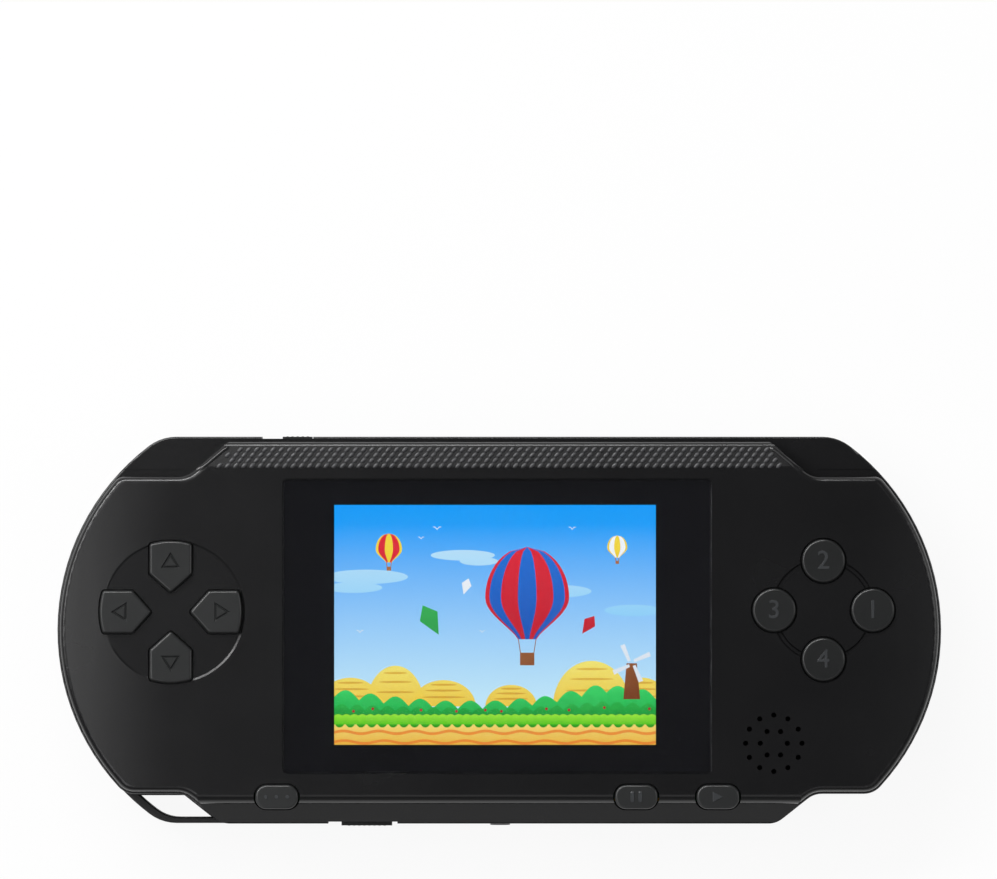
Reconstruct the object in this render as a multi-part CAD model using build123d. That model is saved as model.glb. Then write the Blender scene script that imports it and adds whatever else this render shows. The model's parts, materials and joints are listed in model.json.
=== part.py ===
from build123d import *
import math
import os

# A handheld game console that lies on its flat back.
# X runs to the right, Y towards its top edge and Z out of the screen, in millimetres.
# The origin is the middle of the back. Every other place follows from the sizes below.

# Case
end_bulge = 6.725
corner_radius = 8.0
side_wall = 1.8
ledge_wall = 1.6
back_wall = 1.5
roof = 1.9
back_round = 3.0
ledge_round = 0.35
ledge_drop = 0.9
seam_chamfer = 0.25
cut_over = 1.0
fixed_gap = 0.1

# The lower corners that are cut away, and the loop bar that spans the left one
notch_depth = 5.3
notch_from_end = 29.3
notch_run = 6.7
notch_round = 4.0
loop_bar = 1.1
loop_side_bar = 1.8
loop_low = 2.6
loop_height = 4.2
loop_root = 2.5
loop_rim = 0.35
loop_round = 0.35

# The raised front tier, its shoulders, its textured slope and its crowned ends
tier_inset = 0.5
tier_round = 1.1
tier_top_inset = 0.95
tier_bottom_inset = 3.6
tier_bottom_round = 2.0
shoulder_depth = 7.1
shoulder_from_end = 30.3
shoulder_run = 7.2
shoulder_round = 4.5
shoulder_end_round = 2.2
shoulder_line_gap = 1.2
shoulder_line_width = 0.3
shoulder_line_depth = 0.2
slope_width = 4.4
slope_drop = 1.4
slope_edge_round = 1.0
crown_reach = 20.0
crown_drop = 0.9

# Direction keys
pad_from_end = 20.2
pad_y = 3.3
pad_radius = 13.0
dish_inset = 0.3
dish_shift = 0.5
dish_depth = 0.4
dish_slope_width = 0.35
dish_slope_height = 0.2
arrow_key_width = 7.5
arrow_key_rim_gap = 0.4
arrow_key_neck = 6.75
arrow_key_tip = 3.4
arrow_key_corner = 0.5
arrow_length = 2.9
arrow_width = 3.6
arrow_line = 0.45
arrow_depth = 0.25
arrow_bevel = 0.2
arrow_centre = 9.2

# Round action keys
cluster_from_end = 21.0
cluster_y = 3.6
cluster_radius = 8.75
round_key_radius = 3.85
round_key_stand = 0.55
ring_groove_width = 1.0
ring_groove_depth = 0.35
ring_bevel = 0.25

# Every key, its flange and the rubber dome under it
key_gap = 0.3
key_stand = 0.7
key_round = 0.45
key_travel = 1.0
flange_thick = 0.8
flange_width = 0.7
mat_thick = 0.4
mat_margin = 1.2
dome_radius = 2.4
dome_top_share = 0.7
dome_wall = 0.4
puck_share = 0.45

# Screen lens between the keys, and what lies under it
lens_left_gap = 6.93
lens_right_gap = 7.27
lens_low_margin = 5.475
lens_high_margin = 2.225
lens_corner = 0.8
lens_thick = 1.0
lens_gap = 0.12
lens_sink = 0.05
view_length = 57.1
view_width = 42.6
tape_thick = 0.1
tape_inset = 0.3
border_left = 9.06
border_right = 9.84
border_low = 4.98
border_high = 4.52
view_margin = 0.3
module_margin_x = 6.0
module_margin_y = 3.7
frame_wall = 0.6
frame_lip = 0.3
frame_height = 2.6
glass_thick = 1.2
gasket_thick = 0.4
gasket_inset = 1.0
gasket_width = 2.0
pad_strip_width = 18.0
module_gap = 0.8
flex_width = 16.0
flex_thick = 0.2
flex_rise = 0.3
flex_shift = -6.0
flex_reach = 3.0
socket_height = 0.6
socket_depth = 3.0
socket_margin = 1.5
rib_thick = 0.8
rib_height = 2.2

# Main board and what is soldered to it
board_inset = 4.0
board_thick = 1.0
board_gap = 0.9
ledge_gap = 0.2
relief_gap = 0.3
chip_radius = 6.0
chip_height = 0.8
chip_from_pad_x = 6.3
chip_from_pad_y = 15.3
memory_size = (8.0, 6.0, 1.0)
memory_from_bay = 5.7
memory_y = -4.0
amp_size = (5.0, 4.0, 1.4)
amp_from_cluster = 4.5
amp_y = -10.0
crystal_size = (11.0, 4.5, 3.6)
crystal_round = 2.0
crystal_from_pad_x = 9.3
crystal_from_boss = 2.05
can_count = 3
can_radius = 2.5
can_height = 5.2
can_pitch = 7.0
can_round = 0.4
can_from_cluster = 10.5
can_y = -1.0

# Slides on the top and bottom edges
slot_height = 2.8
slot_recess = 0.35
slide_gap = 0.15
knob_bridge = 0.8
knob_flange = 0.6
knob_cover = 0.5
lever_width = 2.0
lever_height = 1.2
lever_depth = 2.4
power_knob_length = 5.3
power_from_card = 13.95
power_travel = 3.5
volume_knob_length = 9.0
volume_from_jack = 23.7
volume_left_travel = 2.2
volume_right_travel = 0.8
volume_stand = 0.35
switch_height = 2.2
switch_depth = 4.0
switch_margin = 1.6

# Sockets
jack_radius = 1.3
jack_collar_radius = 1.75
jack_collar_stand = 0.3
jack_width = 6.0
jack_depth = 10.0
jack_gap = 0.65
jack_bay_gap = 1.175
jack_x = 0.15
port_width = 7.7
port_height = 3.9
port_depth = 9.0
port_wall = 0.35
port_tongue = 0.8
port_from_jack = 13.85
card_width = 42.0
card_depth = 14.0
card_gap = 0.25
card_wall = 0.9
connector_depth = 4.0
connector_gap = 1.075
connector_tongue = 1.2
connector_reach = 3.0
connector_margin = 3.0

# Loudspeaker
speaker_from_end = 29.8
speaker_from_edge = 14.375
speaker_radius = 6.2
speaker_rim = 0.8
speaker_floor = 1.2
speaker_ring = 1.0
cone_rim_radius = 5.2
cone_foot_radius = 2.0
cone_depth = 1.0
cone_thick = 0.3
speaker_gasket_thick = 0.35
speaker_gasket_width = 0.8
cloth_thick = 0.15
contact_pitch = 6.0
contact_radius = 0.6
contact_gap = 0.5
hole_radius = 0.45
outer_hole_circle = 5.0
inner_hole_circle = 2.4
outer_holes = 12
inner_holes = 6

# Pill keys along the lower edge
pill_length = 7.6
pill_width = 4.3
pill_corner = 2.0
pill_inset = 4.85
pill_stand = 0.4
pill_travel = 0.8
pill_flange_depth = 3.0
pill_dome_radius = 1.4
reset_from_end = 39.0
start_from_speaker = 9.9
select_from_start = 14.5

# Battery, its bay and its door
battery_length = 53.0
battery_thick = 5.6
battery_corner = 2.0
battery_gap = 0.3
bay_wall = 1.0
bay_roof = 0.8
bay_top_gap = 0.2
bay_split_gap = 0.15
door_margin = 4.5
door_lap = 1.7
door_thick = 1.4
door_sink = 0.05
door_gap = 0.15
door_tongue = 1.0
door_lip = 0.7
deck_thick = 1.0
deck_margin = 1.5
grip_count = 5
grip_pitch = 2.0
grip_width = 0.8
grip_depth = 0.3
grip_length = 14.0
grip_from_edge = 10.375
block_width = 9.0
block_margin = 1.6
block_depth = 2.4
blade_count = 3
blade_width = 1.2
blade_pitch = 2.6
blade_bow = 0.25

# Screws
screw_radius = 1.0
screw_head_radius = 1.9
screw_head_height = 1.4
screw_head_sink = 1.4
screw_length = 9.0
screw_play = 0.03
screw_clear = 0.15
boss_radius = 2.7
boss_gap = 0.8
upper_screw_from_end = 18.5
upper_screw_from_edge = 12.875
middle_screw_from_edge = 12.375
lower_screw_from_end = 14.5
lower_screw_from_edge = 17.375
board_screw_length = 4.0
board_screw_head = 0.9
board_post_radius = 2.2
board_post_upper_y = 8.0
board_post_lower_y = -12.0
driver_slot_width = 0.5
driver_slot_depth = 0.5

# Heights, from the back upwards
door_high = door_sink + door_thick
battery_low = door_high + fixed_gap
deck_high = battery_low + deck_thick
bay_inside_high = battery_low + battery_thick + bay_top_gap
split_height = bay_inside_high + bay_roof + bay_split_gap
board_low = split_height + board_gap
board_top = board_low + board_thick
ledge_inside = board_top + ledge_gap
ledge_height = ledge_inside + ledge_wall
module_low = board_top + module_gap
module_top = module_low + frame_height
inside_top = module_top + gasket_thick
flange_low = inside_top - flange_thick
face_height = inside_top + roof
lens_seat = face_height - lens_sink - lens_thick - tape_thick
speaker_high = inside_top - cloth_thick - speaker_gasket_thick
speaker_low = board_top + contact_gap
screw_seat = screw_head_sink + screw_head_height
jack_height = board_low - deck_high - jack_gap
card_low = deck_high + card_gap
card_height = split_height - card_wall - card_low

# Length and width, from what stands side by side on the face
lens_length = border_left + view_length + border_right
lens_width = border_low + view_width + border_high
body_length = (
    pad_from_end + pad_radius + lens_left_gap + lens_length
    + lens_right_gap + round_key_radius + cluster_radius + cluster_from_end
)
body_width = (
    tier_bottom_inset + lens_low_margin + lens_width + lens_high_margin + slope_width + tier_top_inset
)

# Outlines
half_length = body_length / 2
half_width = body_width / 2
end_radius = half_width + end_bulge
end_centre = half_length - end_radius
notch_line = notch_depth - half_width
notch_foot = half_length - notch_from_end
tier_high = half_width - tier_top_inset
tier_low = half_width - tier_bottom_inset
shoulder_line = half_width - shoulder_depth
shoulder_head = half_length - shoulder_from_end
slope_foot = tier_high - slope_width

# Keys and loudspeaker
pad_x = pad_from_end - half_length
cluster_x = half_length - cluster_from_end
arrow_key_reach = pad_radius - arrow_key_rim_gap
speaker_x = half_length - speaker_from_end
speaker_y = speaker_from_edge - half_width
pill_y = pill_inset - half_width
reset_key_x = reset_from_end - half_length
start_key_x = speaker_x - start_from_speaker
select_key_x = start_key_x - select_from_start

# Lens, picture and display
lens_x = pad_x + pad_radius + lens_left_gap + lens_length / 2
lens_y = lens_low_margin - tier_low + lens_width / 2
view_x = lens_x + (border_left - border_right) / 2
view_y = lens_y + (border_low - border_high) / 2
module_length = view_length + 2 * module_margin_x
module_width = view_width + 2 * module_margin_y

# Battery between the jack and the card socket
card_end = half_width - card_depth
bay_high_y = card_end - connector_depth - connector_gap - bay_wall
bay_low_y = side_wall + fixed_gap + jack_depth + jack_bay_gap + bay_wall - half_width
battery_width = bay_high_y - bay_low_y - 2 * battery_gap
battery_y = (bay_high_y + bay_low_y) / 2
bay_edge_x = battery_length / 2 + battery_gap
door_length = battery_length + 2 * door_margin
door_top = bay_high_y + bay_wall + door_lap
block_low = deck_high + fixed_gap
block_height = battery_thick - block_margin

# Screws, slides and port
middle_screw_x = lens_length / 2 + boss_radius + boss_gap
middle_screw_y = half_width - middle_screw_from_edge
board_post_x = module_length / 2 + frame_wall + rib_thick + board_post_radius + boss_gap
power_knob_x = -card_width / 2 - card_wall - power_from_card
volume_knob_x = jack_x - volume_from_jack
port_x = jack_x + port_from_jack

arrow_keys = {"right": 0, "up": 90, "left": 180, "down": 270}
pill_keys = {"reset": reset_key_x, "select": select_key_x, "start": start_key_x}
case_screw_places = [
    (side * x, y)
    for side in (-1, 1)
    for x, y in (
        (half_length - upper_screw_from_end, half_width - upper_screw_from_edge),
        (half_length - lower_screw_from_end, lower_screw_from_edge - half_width),
        (middle_screw_x, middle_screw_y),
    )
]
board_screw_places = [
    (side * board_post_x, y) for side in (-1, 1) for y in (board_post_upper_y, board_post_lower_y)
]


def prism(outline, low, high):
    """An upright solid over an outline, between two heights."""
    return extrude(Pos(0, 0, low) * outline, amount=high - low, dir=(0, 0, 1))


def block(low_x, high_x, low_y, high_y, low_z, high_z):
    """A box between two opposite corners."""
    size = (high_x - low_x, high_y - low_y, high_z - low_z)
    middle = ((low_x + high_x) / 2, (low_y + high_y) / 2, (low_z + high_z) / 2)
    return Pos(*middle) * Box(*size)


def post(x, y, radius, low, high):
    """An upright cylinder."""
    return prism(Pos(x, y) * Circle(radius), low, high)


def round_corner(outline, x, y, radius):
    """The outline with its corner nearest to a point rounded."""
    corner = outline.vertices().sort_by_distance((x, y, 0))[0]
    return fillet(corner, radius)


def top_rounded(solid, radius):
    """The solid with the edges of its highest face rounded."""
    return fillet(solid.faces().sort_by(Axis.Z)[-1].edges(), radius)


def end_x(y, inset):
    """How far out an end arc, drawn in by an inset, is at a place along Y."""
    return end_centre + math.sqrt((end_radius - inset) ** 2 - y**2)


# Outlines


def stadium(inset):
    """Round ends on a straight middle, cut flat along both long sides."""
    band = Rectangle(2 * end_centre, 2 * (end_radius - inset))
    left = Pos(-end_centre, 0) * Circle(end_radius - inset)
    right = Pos(end_centre, 0) * Circle(end_radius - inset)
    return (band + left + right) & Rectangle(body_length, 2 * (half_width - inset))


def rounded_stadium(inset):
    """The stadium with its four corners blended."""
    outline = stadium(inset)
    y = half_width - inset
    x = end_x(y, inset)
    for corner in ((x, y), (-x, y), (-x, -y), (x, -y)):
        outline = round_corner(outline, *corner, corner_radius - inset)
    return outline


def notch(side):
    """What is missing from a lower corner: a level cut that slants down to the edge."""
    reach = half_length + cut_over
    foot = notch_foot - notch_run * cut_over / notch_depth
    points = [
        (side * foot, -half_width - cut_over),
        (side * reach, -half_width - cut_over),
        (side * reach, notch_line),
        (side * (notch_foot + notch_run), notch_line),
    ]
    return Polygon(points)


def case_outline():
    """The outline that both shells share."""
    outline = stadium(0) - notch(-1) - notch(1)
    for side in (-1, 1):
        outline = round_corner(outline, side * end_x(half_width, 0), half_width, corner_radius)
        outline = round_corner(outline, side * end_x(notch_line, 0), notch_line, notch_round)
        outline = round_corner(outline, side * (notch_foot + notch_run), notch_line, notch_round)
        outline = round_corner(outline, side * notch_foot, -half_width, notch_round)
    return outline


def shoulder(side):
    """What the front tier leaves free at an upper corner."""
    rise = shoulder_depth - tier_top_inset
    foot = shoulder_head + shoulder_run
    head = foot - (half_width + cut_over - shoulder_line) * shoulder_run / rise
    points = [
        (side * head, half_width + cut_over),
        (side * foot, shoulder_line),
        (side * (half_length + cut_over), shoulder_line),
        (side * (half_length + cut_over), half_width + cut_over),
    ]
    return Polygon(points)


def tier_outline():
    """The front tier seen from above, before its long edges are trimmed."""
    outline = offset(case_outline(), amount=-tier_inset)
    top = half_width - tier_inset
    foot = shoulder_head + shoulder_run
    head = foot - (top - shoulder_line) * shoulder_run / (shoulder_depth - tier_top_inset)
    end = end_x(shoulder_line, tier_inset)
    for side in (-1, 1):
        outline = outline - shoulder(side)
        outline = round_corner(outline, side * foot, shoulder_line, shoulder_round)
        outline = round_corner(outline, side * head, top, shoulder_round)
        outline = round_corner(outline, side * end, shoulder_line, shoulder_end_round)
    return outline


def arrow_key_outline(turn):
    """A pentagon that points at the pad's middle, with its outer end on a circle."""
    half = arrow_key_width / 2
    far = arrow_key_reach + cut_over
    points = [
        (arrow_key_tip, 0),
        (arrow_key_neck, -half),
        (far, -half),
        (far, half),
        (arrow_key_neck, half),
    ]
    outline = Polygon(points) & Circle(arrow_key_reach)
    outline = fillet(outline.vertices(), arrow_key_corner)
    return Pos(pad_x, pad_y) * (Rot(0, 0, turn) * outline)


def ring_place(turn):
    """Where a round key stands."""
    angle = math.radians(turn)
    return cluster_x + cluster_radius * math.cos(angle), cluster_y + cluster_radius * math.sin(angle)


def arrow_place(turn):
    """Where the dome under a direction key stands."""
    angle = math.radians(turn)
    return pad_x + arrow_centre * math.cos(angle), pad_y + arrow_centre * math.sin(angle)


def pill_outline(x):
    return Pos(x, pill_y) * RectangleRounded(pill_length, pill_width, pill_corner)


# Shells


def crown_cut(side):
    """What the crown takes off an end of the face: a long shallow arc along X."""
    radius = (crown_reach**2 + crown_drop**2) / (2 * crown_drop)
    start = half_length - crown_reach
    turn = math.degrees(math.asin(crown_reach / radius))
    arc = CenterArc((start, face_height - radius), radius, 90, -turn)
    over = (half_length + cut_over, face_height + cut_over)
    edge = (half_length + cut_over, (arc @ 1).Y)
    rest = Polyline(arc @ 1, edge, over, (start, over[1]), arc @ 0)
    profile = make_face([arc, *rest.edges()])
    cut = extrude(Plane.XZ * profile, amount=half_width, both=True)
    return cut if side > 0 else mirror(cut, Plane.YZ)


def sunk(outline, depth, bevel, crown):
    """What sinks the face inside an outline, to a floor that follows a crown. Its rim slopes."""
    floor = face_height - depth
    tool = prism(outline, floor, face_height + cut_over)
    column = prism(outline, split_height, face_height + cut_over)
    tool += column & (Pos(0, 0, -depth) * crown)
    rim = tool.edges().filter_by(lambda edge: edge.bounding_box().max.Z < floor + bevel)
    return chamfer(rim, bevel)


def dish():
    """What sinks the round pad to a level floor. Its rim ends in a slope."""
    outline = Pos(pad_x + dish_shift, pad_y) * Circle(pad_radius - dish_inset)
    tool = prism(outline, face_height - dish_depth, face_height + cut_over)
    floor = tool.faces().sort_by(Axis.Z)[0]
    return chamfer(floor.edges(), dish_slope_width, dish_slope_height, reference=floor)


def tier_section():
    """The front tier cut across: round lower edge, level face, slope and steep upper edge."""
    points = [
        (-tier_low, split_height),
        (tier_high, split_height),
        (tier_high, face_height - slope_drop),
        (slope_foot, face_height),
        (-tier_low, face_height),
    ]
    section = Polygon(points)
    section = round_corner(section, *points[2], slope_edge_round)
    section = round_corner(section, *points[3], slope_edge_round)
    section = round_corner(section, *points[4], tier_bottom_round)
    return extrude(Plane.YZ * section, amount=half_length, both=True)


def ledge_section():
    """The ledge cut across: level, but sloping down to the lower edge."""
    points = [
        (-half_width, split_height),
        (half_width, split_height),
        (half_width, ledge_height),
        (-tier_low, ledge_height),
        (-half_width, ledge_height - ledge_drop),
    ]
    section = round_corner(Polygon(points), *points[-1], ledge_round)
    return extrude(Plane.YZ * section, amount=half_length, both=True)


def front_body():
    """The front shell's outside: a ledge all round with the tier on it, still solid."""
    ledge = prism(case_outline(), split_height, ledge_height)
    ledge = top_rounded(ledge, ledge_round) & ledge_section()
    ledge = chamfer(ledge.faces().sort_by(Axis.Z)[0].edges(), seam_chamfer)
    tier = prism(tier_outline(), split_height + seam_chamfer, face_height)
    tier = tier - crown_cut(1) - crown_cut(-1)
    rim = tier.edges().filter_by(lambda edge: edge.center().Z > ledge_height + ledge_wall)
    tier = fillet(rim, tier_round)
    return ledge + (tier & tier_section())


def back_body():
    """The rear shell's outside with the loop bar, still solid."""
    body = prism(case_outline(), 0, split_height)
    body = fillet(body.faces().sort_by(Axis.Z)[0].edges(), back_round)
    body = chamfer(body.faces().sort_by(Axis.Z)[-1].edges(), seam_chamfer)
    bar = rounded_stadium(0) & offset(notch(-1), amount=loop_root)
    hole = Pos(loop_side_bar - loop_bar, 0) * rounded_stadium(loop_bar) & offset(notch(-1), amount=-loop_rim)
    loop = prism(bar - hole, loop_low, loop_low + loop_height)
    loop = fillet(loop.faces().sort_by(Axis.Z)[-1].edges(), loop_round)
    return body + fillet(loop.faces().sort_by(Axis.Z)[0].edges(), loop_round)


def front_cavity():
    """The hollow of the front shell: wide up to the ledge, narrower inside the tier."""
    low = prism(offset(case_outline(), amount=-side_wall), split_height - cut_over, ledge_inside)
    middle = (tier_high - tier_low) / 2
    width = tier_high + tier_low - 2 * side_wall
    band = Pos(0, middle) * Rectangle(body_length, width)
    high = offset(tier_outline(), amount=-side_wall) & band
    return low + prism(high, split_height - cut_over, inside_top)


def grille_holes():
    """The two circles of speaker holes."""
    holes = []
    for count, circle in ((outer_holes, outer_hole_circle), (inner_holes, inner_hole_circle)):
        for step in range(count):
            angle = 2 * math.pi * step / count
            x = speaker_x + circle * math.cos(angle)
            y = speaker_y + circle * math.sin(angle)
            holes.append(post(x, y, hole_radius, inside_top - cut_over, face_height + cut_over))
    return holes


def shoulder_line_cut(side):
    """The fine step line outside a shoulder's straight stretch."""
    y = shoulder_line + shoulder_line_gap
    start = shoulder_head + shoulder_run + shoulder_line_gap
    end = end_x(y, ledge_round)
    mark = Pos(side * (start + end) / 2, y) * Rectangle(end - start, shoulder_line_width)
    return prism(mark, ledge_height - shoulder_line_depth, ledge_height + cut_over)


def slot_cuts(x_low, x_high, side):
    """A slide's slot through the wall of an edge, and the shallow recess round it."""
    inner = half_width - side_wall - cut_over
    outer = half_width + cut_over
    ys = sorted((side * inner, side * outer))
    rim = sorted((side * (half_width - slot_recess), side * outer))
    low = split_height - slot_height / 2
    slot = block(x_low, x_high, *ys, low, low + slot_height)
    recess = block(x_low, x_high, *rim, -cut_over, ledge_height + cut_over)
    return [slot, recess]


def edge_cuts():
    """What both shells lose along their edges: the slides' slots, the jack and the port."""
    power_right = power_knob_x + power_knob_length / 2 + slide_gap
    power_left = power_knob_x - power_knob_length / 2 - power_travel - slide_gap
    volume_right = volume_knob_x + volume_knob_length / 2 + volume_right_travel + slide_gap
    volume_left = volume_knob_x - volume_knob_length / 2 - volume_left_travel - slide_gap
    cuts = slot_cuts(power_left, power_right, 1) + slot_cuts(volume_left, volume_right, -1)
    jack = Cylinder(jack_collar_radius + fixed_gap, side_wall + 2 * cut_over, rotation=(90, 0, 0))
    wall_middle = side_wall / 2 - half_width
    cuts.append(Pos(jack_x, wall_middle, board_low - jack_height / 2) * jack)
    port = Box(port_width + 2 * fixed_gap, side_wall + 2 * cut_over, port_height + 2 * fixed_gap)
    cuts.append(Pos(port_x, wall_middle, board_low - port_height / 2) * port)
    return cuts


def front_shell():
    """Front moulding with its openings, bosses, posts and ribs."""
    shell = front_body() - front_cavity()
    module = Pos(view_x, view_y)
    rib_space = Rectangle(module_length + 2 * fixed_gap, module_width + 2 * fixed_gap)
    rib_outside = offset(rib_space, amount=rib_thick, kind=Kind.INTERSECTION)
    shell += prism(module * (rib_outside - rib_space), inside_top - rib_height, inside_top)
    ring_space = Circle(speaker_radius + fixed_gap)
    ring = Pos(speaker_x, speaker_y) * (Circle(speaker_radius + fixed_gap + speaker_ring) - ring_space)
    shell += prism(ring, speaker_low + contact_gap, inside_top)
    for x, y in case_screw_places:
        shell += post(x, y, boss_radius, split_height, inside_top)
        shell -= post(x, y, screw_radius + screw_play, split_height - cut_over,
                      screw_seat + screw_length + fixed_gap)
    for x, y in board_screw_places:
        shell += post(x, y, board_post_radius, board_top, inside_top)
        shell -= post(x, y, screw_radius + screw_play, board_top - cut_over,
                      board_low + board_screw_length + fixed_gap)
    lens = Rectangle(lens_length + 2 * lens_gap, lens_width + 2 * lens_gap)
    lens = fillet(lens.vertices(), lens_corner + lens_gap)
    shell -= prism(Pos(lens_x, lens_y) * lens, lens_seat, face_height + cut_over)
    view = Rectangle(view_length + 2 * view_margin, view_width + 2 * view_margin)
    shell -= prism(module * view, inside_top - cut_over, face_height)
    shell -= dish()
    groove = Circle(cluster_radius + ring_groove_width / 2) - Circle(cluster_radius - ring_groove_width / 2)
    shell -= sunk(Pos(cluster_x, cluster_y) * groove, ring_groove_depth, ring_bevel, crown_cut(1))
    for turn in arrow_keys.values():
        hole = offset(arrow_key_outline(turn), amount=key_gap)
        shell -= prism(hole, inside_top - cut_over, face_height + cut_over)
        x, y = ring_place(turn)
        shell -= post(x, y, round_key_radius + key_gap, inside_top - cut_over, face_height + cut_over)
    for x in pill_keys.values():
        hole = offset(pill_outline(x), amount=key_gap)
        shell -= prism(hole, ledge_inside - fixed_gap, face_height + cut_over)
    for cut in (*grille_holes(), *edge_cuts(), shoulder_line_cut(-1), shoulder_line_cut(1)):
        shell -= cut
    return shell


def rear_shell():
    """Rear moulding with the battery bay, the card slot and the screw wells."""
    shell = back_body()
    shell -= prism(offset(case_outline(), amount=-side_wall), back_wall, split_height + cut_over)
    deck_x = door_length / 2 + door_tongue + deck_margin
    inside_edge = half_width - side_wall
    shell += block(-deck_x, deck_x, -inside_edge - fixed_gap, door_top + deck_margin,
                   back_wall, deck_high)
    bay = Rectangle(2 * bay_edge_x, bay_high_y - bay_low_y)
    bay = Pos(0, battery_y) * fillet(bay.vertices(), battery_corner)
    bay_outside = offset(bay, amount=bay_wall)
    shell += prism(bay_outside, battery_low, bay_inside_high + bay_roof)
    shell -= prism(bay, battery_low - fixed_gap, bay_inside_high)
    half_card = card_width / 2
    shell += block(-half_card - card_wall, half_card + card_wall, card_end, inside_edge + fixed_gap,
                   back_wall, card_low + card_height + card_wall)
    shell -= block(-half_card, half_card, card_end - cut_over, half_width + cut_over,
                   card_low, card_low + card_height)
    for x, y in case_screw_places:
        shell += post(x, y, boss_radius, back_wall - fixed_gap, split_height)
        shell -= post(x, y, screw_head_radius + screw_clear, -cut_over, screw_seat)
        shell -= post(x, y, screw_radius + screw_clear, 0, split_height + cut_over)
    opening = door_length / 2 + door_gap
    groove = opening + door_tongue
    edge = -half_width - cut_over
    shell -= block(-opening, opening, edge, door_top + door_gap, -cut_over, battery_low)
    shell -= block(-groove, groove, edge, door_top + door_gap, door_lip - fixed_gap, battery_low)
    window = block(bay_edge_x - cut_over, bay_edge_x + bay_wall + cut_over,
                   battery_y - block_width / 2 - fixed_gap, battery_y + block_width / 2 + fixed_gap,
                   block_low - fixed_gap, block_low + block_height + fixed_gap)
    shell -= window
    for cut in edge_cuts():
        shell -= cut
    return shell


def battery_door():
    """Sliding door: a slab with tongues along both sides, flush with the back and its round edge."""
    edge = -half_width - cut_over
    half = door_length / 2
    slab = block(-half, half, edge, door_top, door_sink, door_high)
    slab += block(-half - door_tongue, half + door_tongue, edge, door_top, door_lip, door_high)
    body = prism(case_outline(), 0, split_height)
    body = fillet(body.faces().sort_by(Axis.Z)[0].edges(), back_round)
    door = slab & body
    for step in range(grip_count):
        y = grip_from_edge - half_width + (step - (grip_count - 1) / 2) * grip_pitch
        mark = RectangleRounded(grip_length, grip_width, grip_width / 2 - fixed_gap / 2)
        door -= prism(Pos(0, y) * mark, 0, door_sink + grip_depth)
    return door


# Screen


def screen_lens():
    outline = Rectangle(lens_length, lens_width)
    outline = Pos(lens_x, lens_y) * fillet(outline.vertices(), lens_corner)
    low = lens_seat + tape_thick
    lens = prism(outline, low, low + lens_thick)
    return chamfer(lens.faces().sort_by(Axis.Z)[-1].edges(), fixed_gap)


def lens_tape():
    """Black adhesive frame that holds the lens and borders the picture."""
    outside = Rectangle(lens_length - 2 * tape_inset, lens_width - 2 * tape_inset)
    inside = Pos(view_x, view_y) * Rectangle(view_length, view_width)
    frame = Pos(lens_x, lens_y) * outside - inside
    return prism(frame, lens_seat, lens_seat + tape_thick)


def lcd_gasket():
    inside = Rectangle(view_length + 2 * gasket_inset, view_width + 2 * gasket_inset)
    outside = offset(inside, amount=gasket_width, kind=Kind.INTERSECTION)
    return prism(Pos(view_x, view_y) * (outside - inside), module_top, inside_top)


def module_space():
    """The inside of the LCD frame."""
    return Rectangle(module_length - 2 * frame_wall, module_width - 2 * frame_wall)


def lcd_frame():
    """Pressed metal frame, open below, with a window above."""
    place = Pos(view_x, view_y)
    frame = prism(place * Rectangle(module_length, module_width), module_low, module_top)
    frame -= prism(place * module_space(), module_low - cut_over, module_top - frame_lip)
    view = Rectangle(view_length + 2 * view_margin, view_width + 2 * view_margin)
    return frame - prism(place * view, module_low, module_top + cut_over)


def lcd_panel():
    """Glass of the display, against the frame's lip."""
    high = module_top - frame_lip
    return prism(Pos(view_x, view_y) * module_fill(), high - glass_thick, high)


def lcd_backlight():
    """Light guide behind the glass."""
    high = module_top - frame_lip - glass_thick
    return prism(Pos(view_x, view_y) * module_fill(), module_low, high)


def module_fill():
    """The frame's inside, drawn in by a small gap."""
    return offset(module_space(), amount=-fixed_gap, kind=Kind.INTERSECTION)


def lcd_pad():
    """Foam strip between the board and the display."""
    strip = Rectangle(view_length, pad_strip_width)
    return prism(Pos(view_x, view_y) * strip, board_top, module_low)


def flex_levels():
    """The heights of the flex cable's two runs, at their middles."""
    return board_top + socket_height / 2, module_low + flex_rise


def lcd_flex():
    """Flat cable that leaves the module's lower side and folds under it."""
    low, high = flex_levels()
    turn = (high - low) / 2
    start = view_y - module_width / 2
    fold = start - turn
    inner = start + flex_reach
    upper = block(-flex_width / 2, flex_width / 2, fold, start, high - flex_thick / 2, high + flex_thick / 2)
    lower = block(-flex_width / 2, flex_width / 2, fold, inner, low - flex_thick / 2, low + flex_thick / 2)
    ring = Circle(turn + flex_thick / 2) - Circle(turn - flex_thick / 2)
    half = ring & (Pos(-turn, 0) * Rectangle(2 * turn, 4 * turn))
    bend = extrude(Plane.YZ * half, amount=flex_width / 2, both=True)
    bend = Pos(0, fold, (low + high) / 2) * bend
    return Pos(flex_shift, 0, 0) * (upper + lower + bend)


def lcd_socket():
    """Connector that the flat cable ends at."""
    start = view_y - module_width / 2 + flex_reach
    half = flex_width / 2 + socket_margin
    return block(flex_shift - half, flex_shift + half, start, start + socket_depth,
                 board_top, board_top + socket_height)


# Board


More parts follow.
